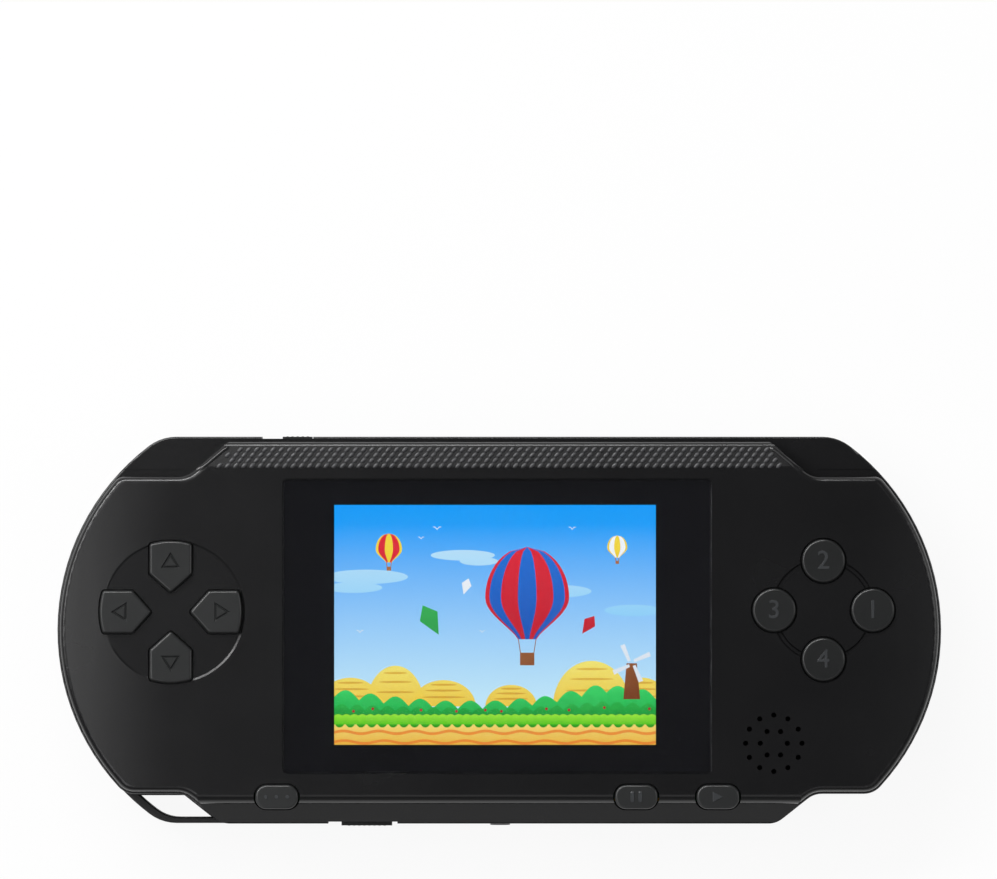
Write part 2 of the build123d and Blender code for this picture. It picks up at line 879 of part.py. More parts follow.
def main_board():
    """Circuit board with square cut lower corners and holes round the case's posts."""
    outline = stadium(board_inset)
    corner = notch_foot - board_inset / 2
    for side in (-1, 1):
        cut = Rectangle(half_length, notch_depth, align=(Align.MIN, Align.MIN))
        cut = Pos(corner, -half_width + board_inset / 2) * cut
        outline -= cut if side > 0 else mirror(cut, Plane.YZ)
    board = prism(outline, board_low, board_top)
    for x, y in case_screw_places:
        board -= post(x, y, boss_radius + relief_gap, board_low - cut_over, board_top + cut_over)
    for x, y in board_screw_places:
        board -= post(x, y, screw_radius + screw_clear, board_low - cut_over, board_top + cut_over)
    return board


def game_chip():
    """Epoxy blob over the processor, on the board's underside."""
    x = pad_x + chip_from_pad_x
    y = pad_y - chip_from_pad_y
    dome = (chip_radius**2 + chip_height**2) / (2 * chip_height)
    ball = Pos(x, y, board_low - chip_height + dome) * Sphere(dome)
    return ball & post(x, y, chip_radius, board_low - chip_height, board_low)


def hung_chip(size, x, y):
    """A chip under the board."""
    length, width, height = size
    return block(x - length / 2, x + length / 2, y - width / 2, y + width / 2, board_low - height, board_low)


def crystal():
    """Metal can of the clock crystal, lying under the board."""
    length, width, height = crystal_size
    y = middle_screw_y - boss_radius - crystal_from_boss - width / 2
    place = Pos(pad_x + crystal_from_pad_x, y)
    return prism(place * RectangleRounded(length, width, crystal_round), board_low - height, board_low)


def board_capacitors():
    """A row of round capacitors under the board."""
    cans = []
    for step in range(can_count):
        y = can_y + (step - (can_count - 1) / 2) * can_pitch
        can = post(cluster_x - can_from_cluster, y, can_radius, board_low - can_height, board_low)
        cans.append(fillet(can.faces().sort_by(Axis.Z)[0].edges(), can_round))
    return Compound(children=cans)


# Keys and their mats


def arrow_key(turn):
    """Direction key with its flange and the outline of a triangle sunk in its top."""
    outline = arrow_key_outline(turn)
    high = face_height + key_stand
    key = top_rounded(prism(outline, flange_low, high), key_round)
    key += prism(offset(outline, amount=flange_width), flange_low, inside_top)
    half = arrow_length / 2
    points = [(half, 0), (-half, arrow_width / 2), (-half, -arrow_width / 2)]
    triangle = Polygon(points)
    line = triangle - offset(triangle, amount=-arrow_line, kind=Kind.INTERSECTION)
    line = Pos(*arrow_place(turn)) * (Rot(0, 0, turn) * line)
    groove = prism(line, high - arrow_depth, high + cut_over)
    return key - chamfer(groove.faces().sort_by(Axis.Z)[0].edges(), arrow_bevel)


def round_key(turn):
    """Round action key with its flange."""
    x, y = ring_place(turn)
    key = post(x, y, round_key_radius, flange_low, face_height + round_key_stand)
    key = top_rounded(key, key_round)
    return key + post(x, y, round_key_radius + flange_width, flange_low, inside_top)


def pill_key(x):
    """Key on the tier's round lower edge: its flange reaches inwards, its tail fills the hole."""
    outline = pill_outline(x)
    inner_wall = side_wall - tier_low
    key = top_rounded(prism(outline, flange_low, face_height + pill_stand), key_round)
    half = pill_length / 2 + flange_width
    low_y = inner_wall + 2 * fixed_gap
    key += block(x - half, x + half, low_y, low_y + pill_flange_depth, flange_low, inside_top)
    tail_low = ledge_inside + pill_travel
    tail = Rectangle(pill_length, pill_width, align=(Align.CENTER, Align.MAX))
    tail = outline & (Pos(x, inner_wall) * tail)
    return key + prism(tail, tail_low, flange_low)


def dome(x, y, radius):
    """A hollow rubber dome from the mat up to a key, and the space inside it."""
    top = radius * dome_top_share
    height = flange_low - board_top
    hollow = height - dome_wall
    outside = Cone(radius, top, height, align=(Align.CENTER, Align.CENTER, Align.MIN))
    inside = Cone(radius - dome_wall, top - dome_wall, hollow, align=(Align.CENTER, Align.CENTER, Align.MIN))
    return Pos(x, y, board_top) * outside, Pos(x, y, board_top) * inside


def mat(outline, places, radius, travel):
    """A rubber sheet round the case's posts with a dome at each place, and the dome's contact puck."""
    sheet = prism(outline, board_top, board_top + mat_thick)
    for x, y in case_screw_places:
        sheet -= post(x, y, boss_radius + relief_gap, board_top - cut_over, board_top + 2 * mat_thick)
    for x, y in places:
        outside, inside = dome(x, y, radius)
        sheet = sheet + outside - inside
        sheet += post(x, y, radius * puck_share, board_top + travel, flange_low - dome_wall)
    return sheet


def direction_mat():
    outline = Pos(pad_x, pad_y) * Circle(arrow_centre + dome_radius + mat_margin)
    places = [arrow_place(turn) for turn in arrow_keys.values()]
    return mat(outline, places, dome_radius, key_travel)


def action_mat():
    outline = Pos(cluster_x, cluster_y) * Circle(cluster_radius + dome_radius + mat_margin)
    places = [ring_place(turn) for turn in arrow_keys.values()]
    return mat(outline, places, dome_radius, key_travel)


def pill_mat(places_x):
    """A rubber strip under one or more pill keys."""
    low = side_wall - tier_low + 2 * fixed_gap
    length = max(places_x) - min(places_x) + pill_length
    middle_x = (max(places_x) + min(places_x)) / 2
    strip = Pos(middle_x, low + pill_flange_depth / 2) * Rectangle(length, pill_flange_depth)
    places = [(x, low + pill_flange_depth / 2) for x in places_x]
    return mat(strip, places, pill_dome_radius, pill_travel)


# Slides


def knob(x, length, side, stand, travel):
    """A slide's knob: the nub in the slot and the flange behind the wall."""
    wall_face = half_width - side_wall - slide_gap
    back = wall_face - knob_bridge
    half = length / 2
    low = split_height - slot_height / 2 + slide_gap
    high = split_height + slot_height / 2 - slide_gap
    nub = sorted((side * back, side * (half_width + stand)))
    flange = sorted((side * back, side * wall_face))
    reach = half + travel + knob_cover
    bar = block(x - half, x + half, *nub, low, high)
    return bar + block(x - reach, x + reach, *flange, low - knob_flange, high + knob_flange - slide_gap)


def lever(x, side):
    """The switch's lever, behind the knob."""
    back = half_width - side_wall - slide_gap - knob_bridge
    ys = sorted((side * back, side * (half_width - board_inset - lever_depth)))
    low = board_low - (switch_height + lever_height) / 2
    return block(x - lever_width / 2, x + lever_width / 2, *ys, low, low + lever_height)


def switch(x, side, left_travel, right_travel):
    """Slide switch under the board, with the channel that its lever runs in."""
    edge = half_width - board_inset
    left = x - lever_width / 2 - left_travel
    right = x + lever_width / 2 + right_travel
    ys = sorted((side * (edge - switch_depth), side * edge))
    body = block(left - switch_margin, right + switch_margin, *ys, board_low - switch_height, board_low)
    channel_ys = sorted((side * (edge - lever_depth - slide_gap), side * (edge + cut_over)))
    low = board_low - (switch_height + lever_height) / 2
    channel = block(left - slide_gap, right + slide_gap, *channel_ys,
                    low - slide_gap, low + lever_height + slide_gap)
    return body - channel


# Sockets


def av_jack():
    """Jack with its collar through the wall and its blind bore."""
    inner = side_wall + fixed_gap - half_width
    axis_z = board_low - jack_height / 2
    half = jack_width / 2
    body = block(jack_x - half, jack_x + half, inner, inner + jack_depth, board_low - jack_height, board_low)
    front = -half_width - jack_collar_stand
    collar = Cylinder(jack_collar_radius, inner - front, rotation=(90, 0, 0))
    body += Pos(jack_x, (inner + front) / 2, axis_z) * collar
    bore_end = inner + jack_depth - jack_radius
    bore = Cylinder(jack_radius, bore_end - front + cut_over, rotation=(90, 0, 0))
    return body - Pos(jack_x, (bore_end + front - cut_over) / 2, axis_z) * bore


def charge_port():
    """Metal shell of the charging socket with the tongue inside."""
    front = slot_recess - half_width
    half = port_width / 2
    low = board_low - port_height
    shell = block(port_x - half, port_x + half, front, front + port_depth, low, board_low)
    shell -= block(port_x - half + port_wall, port_x + half - port_wall, front - cut_over,
                   front + port_depth - port_wall, low + port_wall, board_low - port_wall)
    middle = (low + board_low) / 2
    inner = half - 2 * port_wall - fixed_gap
    return shell + block(port_x - inner, port_x + inner, front + port_wall, front + port_depth - port_wall,
                         middle - port_tongue / 2, middle + port_tongue / 2)


def card_connector():
    """Socket at the end of the card slot, with its tongue reaching into the slot."""
    half = card_width / 2
    body = block(-half, half, card_end - connector_depth, card_end, card_low, board_low)
    middle = card_low + card_height / 2
    reach = half - connector_margin
    return body + block(-reach, reach, card_end, card_end + connector_reach,
                        middle - connector_tongue / 2, middle + connector_tongue / 2)


# Loudspeaker


def speaker_cloth():
    return post(speaker_x, speaker_y, speaker_radius, inside_top - cloth_thick, inside_top)


def speaker_gasket():
    ring = Circle(speaker_radius) - Circle(speaker_radius - speaker_gasket_width)
    high = inside_top - cloth_thick
    return prism(Pos(speaker_x, speaker_y) * ring, high - speaker_gasket_thick, high)


def speaker_frame():
    """Round cup with the magnet in its floor."""
    cup = post(speaker_x, speaker_y, speaker_radius, speaker_low, speaker_high)
    bore = speaker_radius - speaker_rim
    return cup - post(speaker_x, speaker_y, bore, speaker_low + speaker_floor, speaker_high + cut_over)


def speaker_cone():
    """Thin cone with a cap over its middle."""
    high = speaker_high
    low = high - cone_depth
    points = [
        (0, low),
        (cone_foot_radius, low),
        (cone_rim_radius, high - cone_thick),
        (speaker_radius - speaker_rim, high - cone_thick),
        (speaker_radius - speaker_rim, high),
        (cone_rim_radius, high),
        (cone_foot_radius, low + cone_thick),
        (0, low + 2 * cone_thick),
    ]
    profile = Plane.XZ * Polygon(points)
    return Pos(speaker_x, speaker_y, 0) * revolve(profile, Axis.Z)


def speaker_contacts():
    """Two spring contacts between the board and the speaker's floor."""
    pads = []
    for side in (-1, 1):
        x = speaker_x + side * contact_pitch / 2
        pads.append(post(x, speaker_y, contact_radius, board_top, speaker_low))
    return Compound(children=pads)


# Battery


def battery():
    pack = RectangleRounded(battery_length, battery_width, battery_corner)
    body = prism(Pos(0, battery_y) * pack, battery_low, battery_low + battery_thick)
    return fillet(body.edges().group_by(Axis.Z)[-1] + body.edges().group_by(Axis.Z)[0], battery_gap)


def battery_contacts():
    """Contact block in the bay's end wall, soldered to the board by its posts."""
    face = bay_edge_x
    low = block_low
    half = block_width / 2
    body = block(face, face + block_depth, battery_y - half, battery_y + half, low, low + block_height)
    return body + block(face + bay_wall + fixed_gap, face + block_depth, battery_y - half, battery_y + half,
                        low, board_low)


def contact_blades():
    """Spring blades that bow from the block to the battery's end."""
    face = bay_edge_x
    low = block_low
    blades = []
    for step in range(blade_count):
        y = battery_y + (step - (blade_count - 1) / 2) * blade_pitch
        blades.append(block(face - blade_bow, face, y - blade_width / 2, y + blade_width / 2,
                            low + fixed_gap, low + block_height - fixed_gap))
    return Compound(children=blades)


# Screws


def screw(x, y, seat, head_height, length):
    """Pan head screw that is driven upwards, with a cross in its head."""
    low = seat - head_height
    head = post(x, y, screw_head_radius, low, seat)
    head = fillet(head.faces().sort_by(Axis.Z)[0].edges(), head_height / 3)
    slot = Rectangle(2 * screw_radius, driver_slot_width)
    cross = Pos(x, y) * (slot + Rot(0, 0, 90) * slot)
    head -= prism(cross, low, low + driver_slot_depth)
    return head + post(x, y, screw_radius, seat, seat + length)


def case_screws():
    screws = [screw(x, y, screw_seat, screw_head_height, screw_length) for x, y in case_screw_places]
    return Compound(children=screws)


def board_screws():
    places = board_screw_places
    screws = [screw(x, y, board_low, board_screw_head, board_screw_length) for x, y in places]
    return Compound(children=screws)


def pieces():
    """Every piece of the console by its name."""
    found = {
        "front_shell": front_shell(),
        "rear_shell": rear_shell(),
        "battery_door": battery_door(),
        "screen_lens": screen_lens(),
        "lens_tape": lens_tape(),
        "lcd_gasket": lcd_gasket(),
        "lcd_frame": lcd_frame(),
        "lcd_panel": lcd_panel(),
        "lcd_backlight": lcd_backlight(),
        "lcd_pad": lcd_pad(),
        "lcd_flex": lcd_flex(),
        "lcd_socket": lcd_socket(),
        "main_board": main_board(),
        "game_chip": game_chip(),
        "memory_chip": hung_chip(memory_size, -bay_edge_x - bay_wall - memory_from_bay, memory_y),
        "amplifier_chip": hung_chip(amp_size, cluster_x + amp_from_cluster, amp_y),
        "crystal": crystal(),
        "board_capacitors": board_capacitors(),
        "direction_mat": direction_mat(),
        "action_mat": action_mat(),
        "reset_mat": pill_mat([reset_key_x]),
        "menu_mat": pill_mat([select_key_x, start_key_x]),
        "power_knob": knob(power_knob_x, power_knob_length, 1, 0, power_travel),
        "power_lever": lever(power_knob_x, 1),
        "power_switch": switch(power_knob_x, 1, power_travel, 0),
        "volume_knob": knob(volume_knob_x, volume_knob_length, -1, volume_stand, volume_left_travel),
        "volume_lever": lever(volume_knob_x, -1),
        "volume_control": switch(volume_knob_x, -1, volume_left_travel, volume_right_travel),
        "av_jack": av_jack(),
        "charge_port": charge_port(),
        "card_connector": card_connector(),
        "speaker_cloth": speaker_cloth(),
        "speaker_gasket": speaker_gasket(),
        "speaker_frame": speaker_frame(),
        "speaker_cone": speaker_cone(),
        "speaker_contacts": speaker_contacts(),
        "battery": battery(),
        "battery_contacts": battery_contacts(),
        "contact_blades": contact_blades(),
        "case_screws": case_screws(),
        "board_screws": board_screws(),
    }
    for name, turn in arrow_keys.items():
        found[f"{name}_key"] = arrow_key(turn)
    for number, turn in enumerate(arrow_keys.values(), 1):
        found[f"action_key_{number}"] = round_key(turn)
    for name, x in pill_keys.items():
        found[f"{name}_key"] = pill_key(x)
    return found


os.makedirs("parts", exist_ok=True)
for piece_name, piece in pieces().items():
    export_step(piece, f"parts/{piece_name}.step")
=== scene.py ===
# %% [markdown]
# # A handheld game console, dressed for its portrait
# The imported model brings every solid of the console: two shells, the keys, the slides, the screen and all
# that is inside. This lesson gives each solid the finish of the real thing, adds the fine relief that is
# too small for the solids, draws a picture on the display and lights everything like a product photograph.
# Blender works in metres here, so a helper value turns the millimetres of a drawing into metres.

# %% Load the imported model
import bmesh
import bpy
import json
import math
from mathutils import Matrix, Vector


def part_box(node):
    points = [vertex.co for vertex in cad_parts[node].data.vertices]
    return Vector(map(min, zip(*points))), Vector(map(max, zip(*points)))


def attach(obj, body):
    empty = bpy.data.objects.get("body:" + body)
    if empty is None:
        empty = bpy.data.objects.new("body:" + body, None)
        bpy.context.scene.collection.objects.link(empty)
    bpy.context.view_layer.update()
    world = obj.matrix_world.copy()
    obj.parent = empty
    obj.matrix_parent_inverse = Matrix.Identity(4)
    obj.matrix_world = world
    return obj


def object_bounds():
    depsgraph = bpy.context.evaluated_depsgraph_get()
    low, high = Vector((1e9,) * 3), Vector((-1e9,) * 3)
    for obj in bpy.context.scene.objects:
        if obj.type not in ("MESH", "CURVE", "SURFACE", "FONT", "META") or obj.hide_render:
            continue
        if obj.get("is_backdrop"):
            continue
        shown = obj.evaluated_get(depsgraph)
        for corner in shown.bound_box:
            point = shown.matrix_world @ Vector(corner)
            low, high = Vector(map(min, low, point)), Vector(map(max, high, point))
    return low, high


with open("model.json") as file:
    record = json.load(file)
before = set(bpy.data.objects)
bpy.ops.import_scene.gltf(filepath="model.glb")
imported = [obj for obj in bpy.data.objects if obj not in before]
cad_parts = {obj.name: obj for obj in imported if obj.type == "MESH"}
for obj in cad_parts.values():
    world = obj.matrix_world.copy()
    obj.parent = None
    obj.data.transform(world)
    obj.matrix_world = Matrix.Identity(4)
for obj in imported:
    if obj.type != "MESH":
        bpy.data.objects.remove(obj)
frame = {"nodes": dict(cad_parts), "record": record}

mm = 0.001
nodes = frame["nodes"]
solid_low, solid_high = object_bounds()
print(len(nodes), "solids between", [round(v, 4) for v in solid_low], [round(v, 4) for v in solid_high])

# %% [markdown]
# ## Three small helpers for materials
# Colours are written as people know them from the web, as sRGB hex. Blender's shaders count light, so one
# function turns a hex colour to linear values. A second function adds one node to a material: it sets the
# node's options and fills each input with a number, a colour or a link. A third starts a material with its
# shader. That is all that every material below needs, so a pattern reads as a short list of nodes.

# %% Colour and node helpers


def linear(code):
    """The linear red, green, blue and alpha of an sRGB hex colour."""
    parts = [int(code[place:place + 2], 16) / 255 for place in (1, 3, 5)]
    curve = [part / 12.92 if part <= 0.04045 else ((part + 0.055) / 1.055) ** 2.4 for part in parts]
    return (*curve, 1.0)


def add(tree, kind, inputs=None, **options):
    """Adds a node with its options, and fills its inputs with values or links."""
    node = tree.nodes.new("ShaderNode" + kind)
    for name, value in options.items():
        setattr(node, name, value)
    for name, value in (inputs or {}).items():
        if isinstance(value, bpy.types.NodeSocket):
            tree.links.new(value, node.inputs[name])
        else:
            node.inputs[name].default_value = value
    return node


def new_material(name, constants):
    """A material with one Principled shader, whose constants are set on its own sockets."""
    material = bpy.data.materials.new(name)
    material.use_nodes = True
    tree = material.node_tree
    tree.nodes.clear()
    shader = add(tree, "BsdfPrincipled", constants)
    add(tree, "OutputMaterial", {"Surface": shader.outputs["BSDF"]})
    place = add(tree, "TexCoord").outputs["Object"]
    return material, tree, shader, place


print("the black #0D0D0E is", [round(v, 4) for v in linear("#0D0D0E")])

# %% [markdown]
# ## Moulded ABS
# The case and its keys are ABS, injected into a steel mould whose walls were spark eroded. The eye sees a
# satin black: fine pits break up reflections, and the colour and the gloss drift a little where the plastic
# flowed and where hands have rubbed it. An image would repeat and blur close up, so noise textures draw the
# pits, and a second, much larger noise mixes two close blacks. Real pits are about 0.1 mm wide. They are
# drawn 0.3 mm wide, because finer ones wouldn't show. The rear shell and the battery door are moulded
# coarser, which makes them duller. The round keys get a darker copy of the key plastic, which is painted
# shade for the dimmer right-hand end where they sit. ABS has an index of refraction of about 1.54.

# %% Satin ABS for the case and the keys


def moulded_abs(name, dark, light, shine, dull, pit):
    """Satin plastic between two close colours and two roughnesses, with pits of a real size."""
    material, tree, shader, place = new_material(name, {"IOR": 1.54, "Metallic": 0.0})
    flow_size = 14 * mm
    pit_depth = 0.012 * mm
    flow = add(tree, "TexNoise", {"Vector": place, "Scale": 1 / flow_size, "Detail": 3.0})
    colour = add(tree, "Mix", {"Factor": flow.outputs["Fac"], "A": linear(dark), "B": linear(light)},
                 data_type="RGBA")
    tree.links.new(colour.outputs["Result"], shader.inputs["Base Color"])
    gloss = add(tree, "MapRange", {"Value": flow.outputs["Fac"], "To Min": shine, "To Max": dull})
    tree.links.new(gloss.outputs["Result"], shader.inputs["Roughness"])
    pits = add(tree, "TexNoise", {"Vector": place, "Scale": 1 / pit, "Detail": 2.0})
    bump = add(tree, "Bump", {"Height": pits.outputs["Fac"], "Distance": pit_depth, "Strength": 0.6})
    tree.links.new(bump.outputs["Normal"], shader.inputs["Normal"])
    return material


pit_size = 0.3 * mm
case_abs = moulded_abs("black_abs", "#09090A", "#0D0D0E", 0.24, 0.29, pit_size)
rear_abs = moulded_abs("coarse_black_abs", "#0D0D0E", "#131314", 0.42, 0.52, 1.5 * pit_size)
key_abs = moulded_abs("charcoal_abs", "#222323", "#282929", 0.26, 0.33, pit_size)
# A darker copy of the key plastic for the round keys: painted shade for the dimmer right-hand end.
round_key_abs_painted_shade = moulded_abs("charcoal_abs_painted_shade", "#191A1A", "#1F2020", 0.26, 0.33, pit_size)
socket_nylon = moulded_abs("black_nylon", "#0E0E0F", "#151516", 0.45, 0.6, pit_size)
for plastic in (case_abs, rear_abs, key_abs, round_key_abs_painted_shade, socket_nylon):
    print("plastic:", plastic.name)

# %% [markdown]
# ## The acrylic lens and its black print
# The lens is cast acrylic, polished on both faces. It is clear, so it needs transmission and not a colour:
# the black that the eye sees round the picture is the print and the tape under it. Polished acrylic has an
# index of 1.49 and is almost a mirror for what stands over it. A faint film of handling makes its gloss
# uneven, which a soft noise on the roughness gives. The print is ink with a very fine speckle. It sticks to
# the acrylic with no air between, so it has hardly any gloss of its own and looks deeper than the case.

# %% Acrylic and printed tape
lens_acrylic, tree, shader, place = new_material(
    "polished_acrylic",
    {"Base Color": linear("#F4F6FA"), "IOR": 1.49, "Transmission Weight": 1.0, "Metallic": 0.0},
)
smear_size = 9 * mm
smear = add(tree, "TexNoise", {"Vector": place, "Scale": 1 / smear_size, "Detail": 4.0})
film = add(tree, "MapRange", {"Value": smear.outputs["Fac"], "To Min": 0.01, "To Max": 0.07})
tree.links.new(film.outputs["Result"], shader.inputs["Roughness"])

black_print, tree, shader, place = new_material(
    "matte_black_print", {"IOR": 1.5, "Roughness": 0.7, "Specular IOR Level": 0.15})
speckle_size = 0.35 * mm
speckle = add(tree, "TexNoise", {"Vector": place, "Scale": 1 / speckle_size, "Detail": 1.0})
ink = add(tree, "Mix", {"Factor": speckle.outputs["Fac"], "A": linear("#0B0B0E"), "B": linear("#101014")},
          data_type="RGBA")
tree.links.new(ink.outputs["Result"], shader.inputs["Base Color"])
print("lens:", lens_acrylic.name, "over", black_print.name)

# %% [markdown]
# ## Metals
# Pressed steel comes off a roll, so its grain runs one way: a noise that is stretched along the sheet does
# that. Zinc-plated screws are blackened and show darker patches, drawn aluminium cans show fine turned
# rings, and contact springs are gold-plated brass. All metals are fully metallic and keep Blender's usual
# index, because their colour alone says how they mirror. One function holds what they share.

# %% Rolled, blackened and plated metal


def worked_metal(name, dark, light, shine, dull, grain):
    """A metal whose grain has its own length along X, Y and Z."""
    material, tree, shader, place = new_material(name, {"Metallic": 1.0})
    fine = add(tree, "Mapping", {"Vector": place, "Scale": [1 / length for length in grain]})
    lines = add(tree, "TexNoise", {"Vector": fine.outputs["Vector"], "Scale": 1.0, "Detail": 3.0})
    colour = add(tree, "Mix", {"Factor": lines.outputs["Fac"], "A": linear(dark), "B": linear(light)},
                 data_type="RGBA")
    tree.links.new(colour.outputs["Result"], shader.inputs["Base Color"])
    gloss = add(tree, "MapRange", {"Value": lines.outputs["Fac"], "To Min": shine, "To Max": dull})
    tree.links.new(gloss.outputs["Result"], shader.inputs["Roughness"])
    return material


rolled = (8 * mm, 0.3 * mm, 0.3 * mm)
round_grain = (0.4 * mm, 0.4 * mm, 4 * mm)
steel = worked_metal("rolled_steel", "#A9ABAE", "#C4C6C8", 0.28, 0.45, rolled)
screw_steel = worked_metal("blackened_steel", "#2A2A2C", "#48494C", 0.3, 0.5, round_grain)
can_aluminium = worked_metal("drawn_aluminium", "#C9CBCE", "#E0E2E4", 0.22, 0.35, round_grain)
gold_brass = worked_metal("gold_plated_brass", "#C79A3C", "#E3BE62", 0.2, 0.32, rolled)
print("metals:", steel.name, screw_steel.name, can_aluminium.name, gold_brass.name)

# %% [markdown]
# ## The circuit board
# A board is glass laminate under green solder mask. Copper tracks show through the mask as lighter lines,
# and its bare pads are gold. Straight tracks come from a wave texture that runs along the board, a noise
# decides where a bundle of tracks lies, and a grid of cells with a small bright middle makes the pads.
# Tracks are 0.3 mm wide here, at a pitch of 0.9 mm.

# %% Solder mask over copper


def band_scale(pitch):
    """The scale at which Blender's wave texture repeats once every pitch."""
    return math.pi / (10 * pitch)


board_mask, tree, shader, place = new_material("green_solder_mask", {"IOR": 1.52, "Roughness": 0.32})
track_pitch = 0.9 * mm
bundle_size = 9 * mm
pad_pitch = 2.54 * mm
track_level = 0.75
bundle_level = 0.5
pad_radius_share = 0.18
tracks = add(tree, "TexWave", {"Vector": place, "Scale": band_scale(track_pitch), "Distortion": 0.0},
             bands_direction="Y")
bundles = add(tree, "TexNoise", {"Vector": place, "Scale": 1 / bundle_size, "Detail": 1.0})
line = add(tree, "Math", {0: tracks.outputs["Fac"], 1: track_level}, operation="GREATER_THAN")
region = add(tree, "Math", {0: bundles.outputs["Fac"], 1: bundle_level}, operation="GREATER_THAN")
shown = add(tree, "Math", {0: line.outputs[0], 1: region.outputs[0]}, operation="MULTIPLY")
mask = add(tree, "Mix", {"Factor": shown.outputs[0], "A": linear("#0E4A28"), "B": linear("#1F7040")},
           data_type="RGBA")
cells = add(tree, "TexVoronoi", {"Vector": place, "Scale": 1 / pad_pitch, "Randomness": 0.25})
spot = add(tree, "Math", {0: cells.outputs["Distance"], 1: pad_radius_share}, operation="LESS_THAN")
gold = add(tree, "Mix", {"Factor": spot.outputs[0], "A": mask.outputs["Result"], "B": linear("#C9A24A")},
           data_type="RGBA")
tree.links.new(gold.outputs["Result"], shader.inputs["Base Color"])
tree.links.new(spot.outputs[0], shader.inputs["Metallic"])
print("board:", board_mask.name, "tracks every", track_pitch, "m")

# %% [markdown]
# ## Foam, cloth, rubber and films
# The soft pieces inside each have their own surface. Foam is cut through its cells, so a cell pattern pits
# it, and the same pattern paints the pits darker, which is painted shade. Speaker cloth is a plain weave of
# black thread: two crossed waves, one for each direction of thread, whose low places between the crossings
# are painted darker, as painted shade. Silicone mats are milky and let light in a little way. The flat cable
# is amber polyimide over copper tracks, and the light guide is white acrylic with a grid of dots that let
# light out.

# %% Foam and woven cloth
foam, tree, shader, place = new_material("open_cell_foam", {"IOR": 1.45, "Roughness": 0.95})
cell_size = 0.5 * mm
cell_depth = 0.15 * mm
pores_and_painted_shade = add(tree, "TexVoronoi", {"Vector": place, "Scale": 1 / cell_size})
# The pits are painted darker towards their middle: painted shade in the pores.
colour = add(tree, "Mix", {"Factor": pores_and_painted_shade.outputs["Distance"], "A": linear("#0B0B0C"),
                           "B": linear("#2B2B2D")}, data_type="RGBA")
tree.links.new(colour.outputs["Result"], shader.inputs["Base Color"])
bump = add(tree, "Bump", {"Height": pores_and_painted_shade.outputs["Distance"], "Distance": cell_depth, "Strength": 0.8})
tree.links.new(bump.outputs["Normal"], shader.inputs["Normal"])

cloth, tree, shader, place = new_material(
    "black_speaker_cloth", {"IOR": 1.5, "Roughness": 0.9, "Sheen Weight": 0.3, "Sheen Roughness": 0.4})
thread_pitch = 0.25 * mm
thread_depth = 0.05 * mm
warp = add(tree, "TexWave", {"Vector": place, "Scale": band_scale(thread_pitch)}, bands_direction="X")
weft = add(tree, "TexWave", {"Vector": place, "Scale": band_scale(thread_pitch)}, bands_direction="Y")
weave = add(tree, "Math", {0: warp.outputs["Fac"], 1: weft.outputs["Fac"]}, operation="MULTIPLY")
# The low places between the thread crossings are painted darker: painted shade in the weave.
colour = add(tree, "Mix", {"Factor": weave.outputs[0], "A": linear("#050506"), "B": linear("#1B1B1D")},
             data_type="RGBA")
tree.links.new(colour.outputs["Result"], shader.inputs["Base Color"])
bump = add(tree, "Bump", {"Height": weave.outputs[0], "Distance": thread_depth, "Strength": 0.7})
tree.links.new(bump.outputs["Normal"], shader.inputs["Normal"])
print("soft:", foam.name, cloth.name)

# %% Silicone, cone film, flat cable and light guide
silicone, tree, shader, place = new_material(
    "milky_silicone", {"IOR": 1.41, "Roughness": 0.5, "Subsurface Weight": 0.2, "Subsurface Scale": mm})
cloud_size = 5 * mm
cloud = add(tree, "TexNoise", {"Vector": place, "Scale": 1 / cloud_size, "Detail": 2.0})
colour = add(tree, "Mix", {"Factor": cloud.outputs["Fac"], "A": linear("#BDBDB6"), "B": linear("#D8D8D2")},
             data_type="RGBA")
tree.links.new(colour.outputs["Result"], shader.inputs["Base Color"])

cone_film, tree, shader, place = new_material("pressed_polyester_film", {"IOR": 1.57, "Roughness": 0.25})
crease_pitch = 1.0 * mm
crease_shade_bands = add(tree, "TexWave", {"Vector": place, "Scale": band_scale(crease_pitch)},
              bands_direction="DIAGONAL")
# The creases are only lighter and darker bands of colour: painted light and shade for their folds.
colour = add(tree, "Mix", {"Factor": crease_shade_bands.outputs["Fac"], "A": linear("#1A1A1C"), "B": linear("#2C2C30")},
             data_type="RGBA")
tree.links.new(colour.outputs["Result"], shader.inputs["Base Color"])

flat_cable, tree, shader, place = new_material("amber_polyimide", {"IOR": 1.7, "Roughness": 0.3})
lead_pitch = 0.8 * mm
leads = add(tree, "TexWave", {"Vector": place, "Scale": band_scale(lead_pitch)}, bands_direction="X")
colour = add(tree, "Mix", {"Factor": leads.outputs["Fac"], "A": linear("#8A4A12"), "B": linear("#D38A32")},
             data_type="RGBA")
tree.links.new(colour.outputs["Result"], shader.inputs["Base Color"])

light_guide, tree, shader, place = new_material("white_light_guide", {"IOR": 1.49, "Roughness": 0.2})
dot_pitch = 0.8 * mm
dot_radius_share = 0.25
dots = add(tree, "TexVoronoi", {"Vector": place, "Scale": 1 / dot_pitch, "Randomness": 0.0})
dot = add(tree, "Math", {0: dots.outputs["Distance"], 1: dot_radius_share}, operation="LESS_THAN")
colour = add(tree, "Mix", {"Factor": dot.outputs[0], "A": linear("#E2E4E6"), "B": linear("#FFFFFF")},
             data_type="RGBA")
tree.links.new(colour.outputs["Result"], shader.inputs["Base Color"])
print("films:", silicone.name, cone_film.name, flat_cable.name, light_guide.name)

# %% [markdown]
# ## Glass, epoxy and the battery's wrap
# The display's glass is dark where no picture lies on it, with the faint lines of its printed columns. The
# chips are moulded epoxy, a black with light specks of its glass filler. The battery is a flat cell in
# shrink film, which is smooth and shows soft bands where it was stretched.

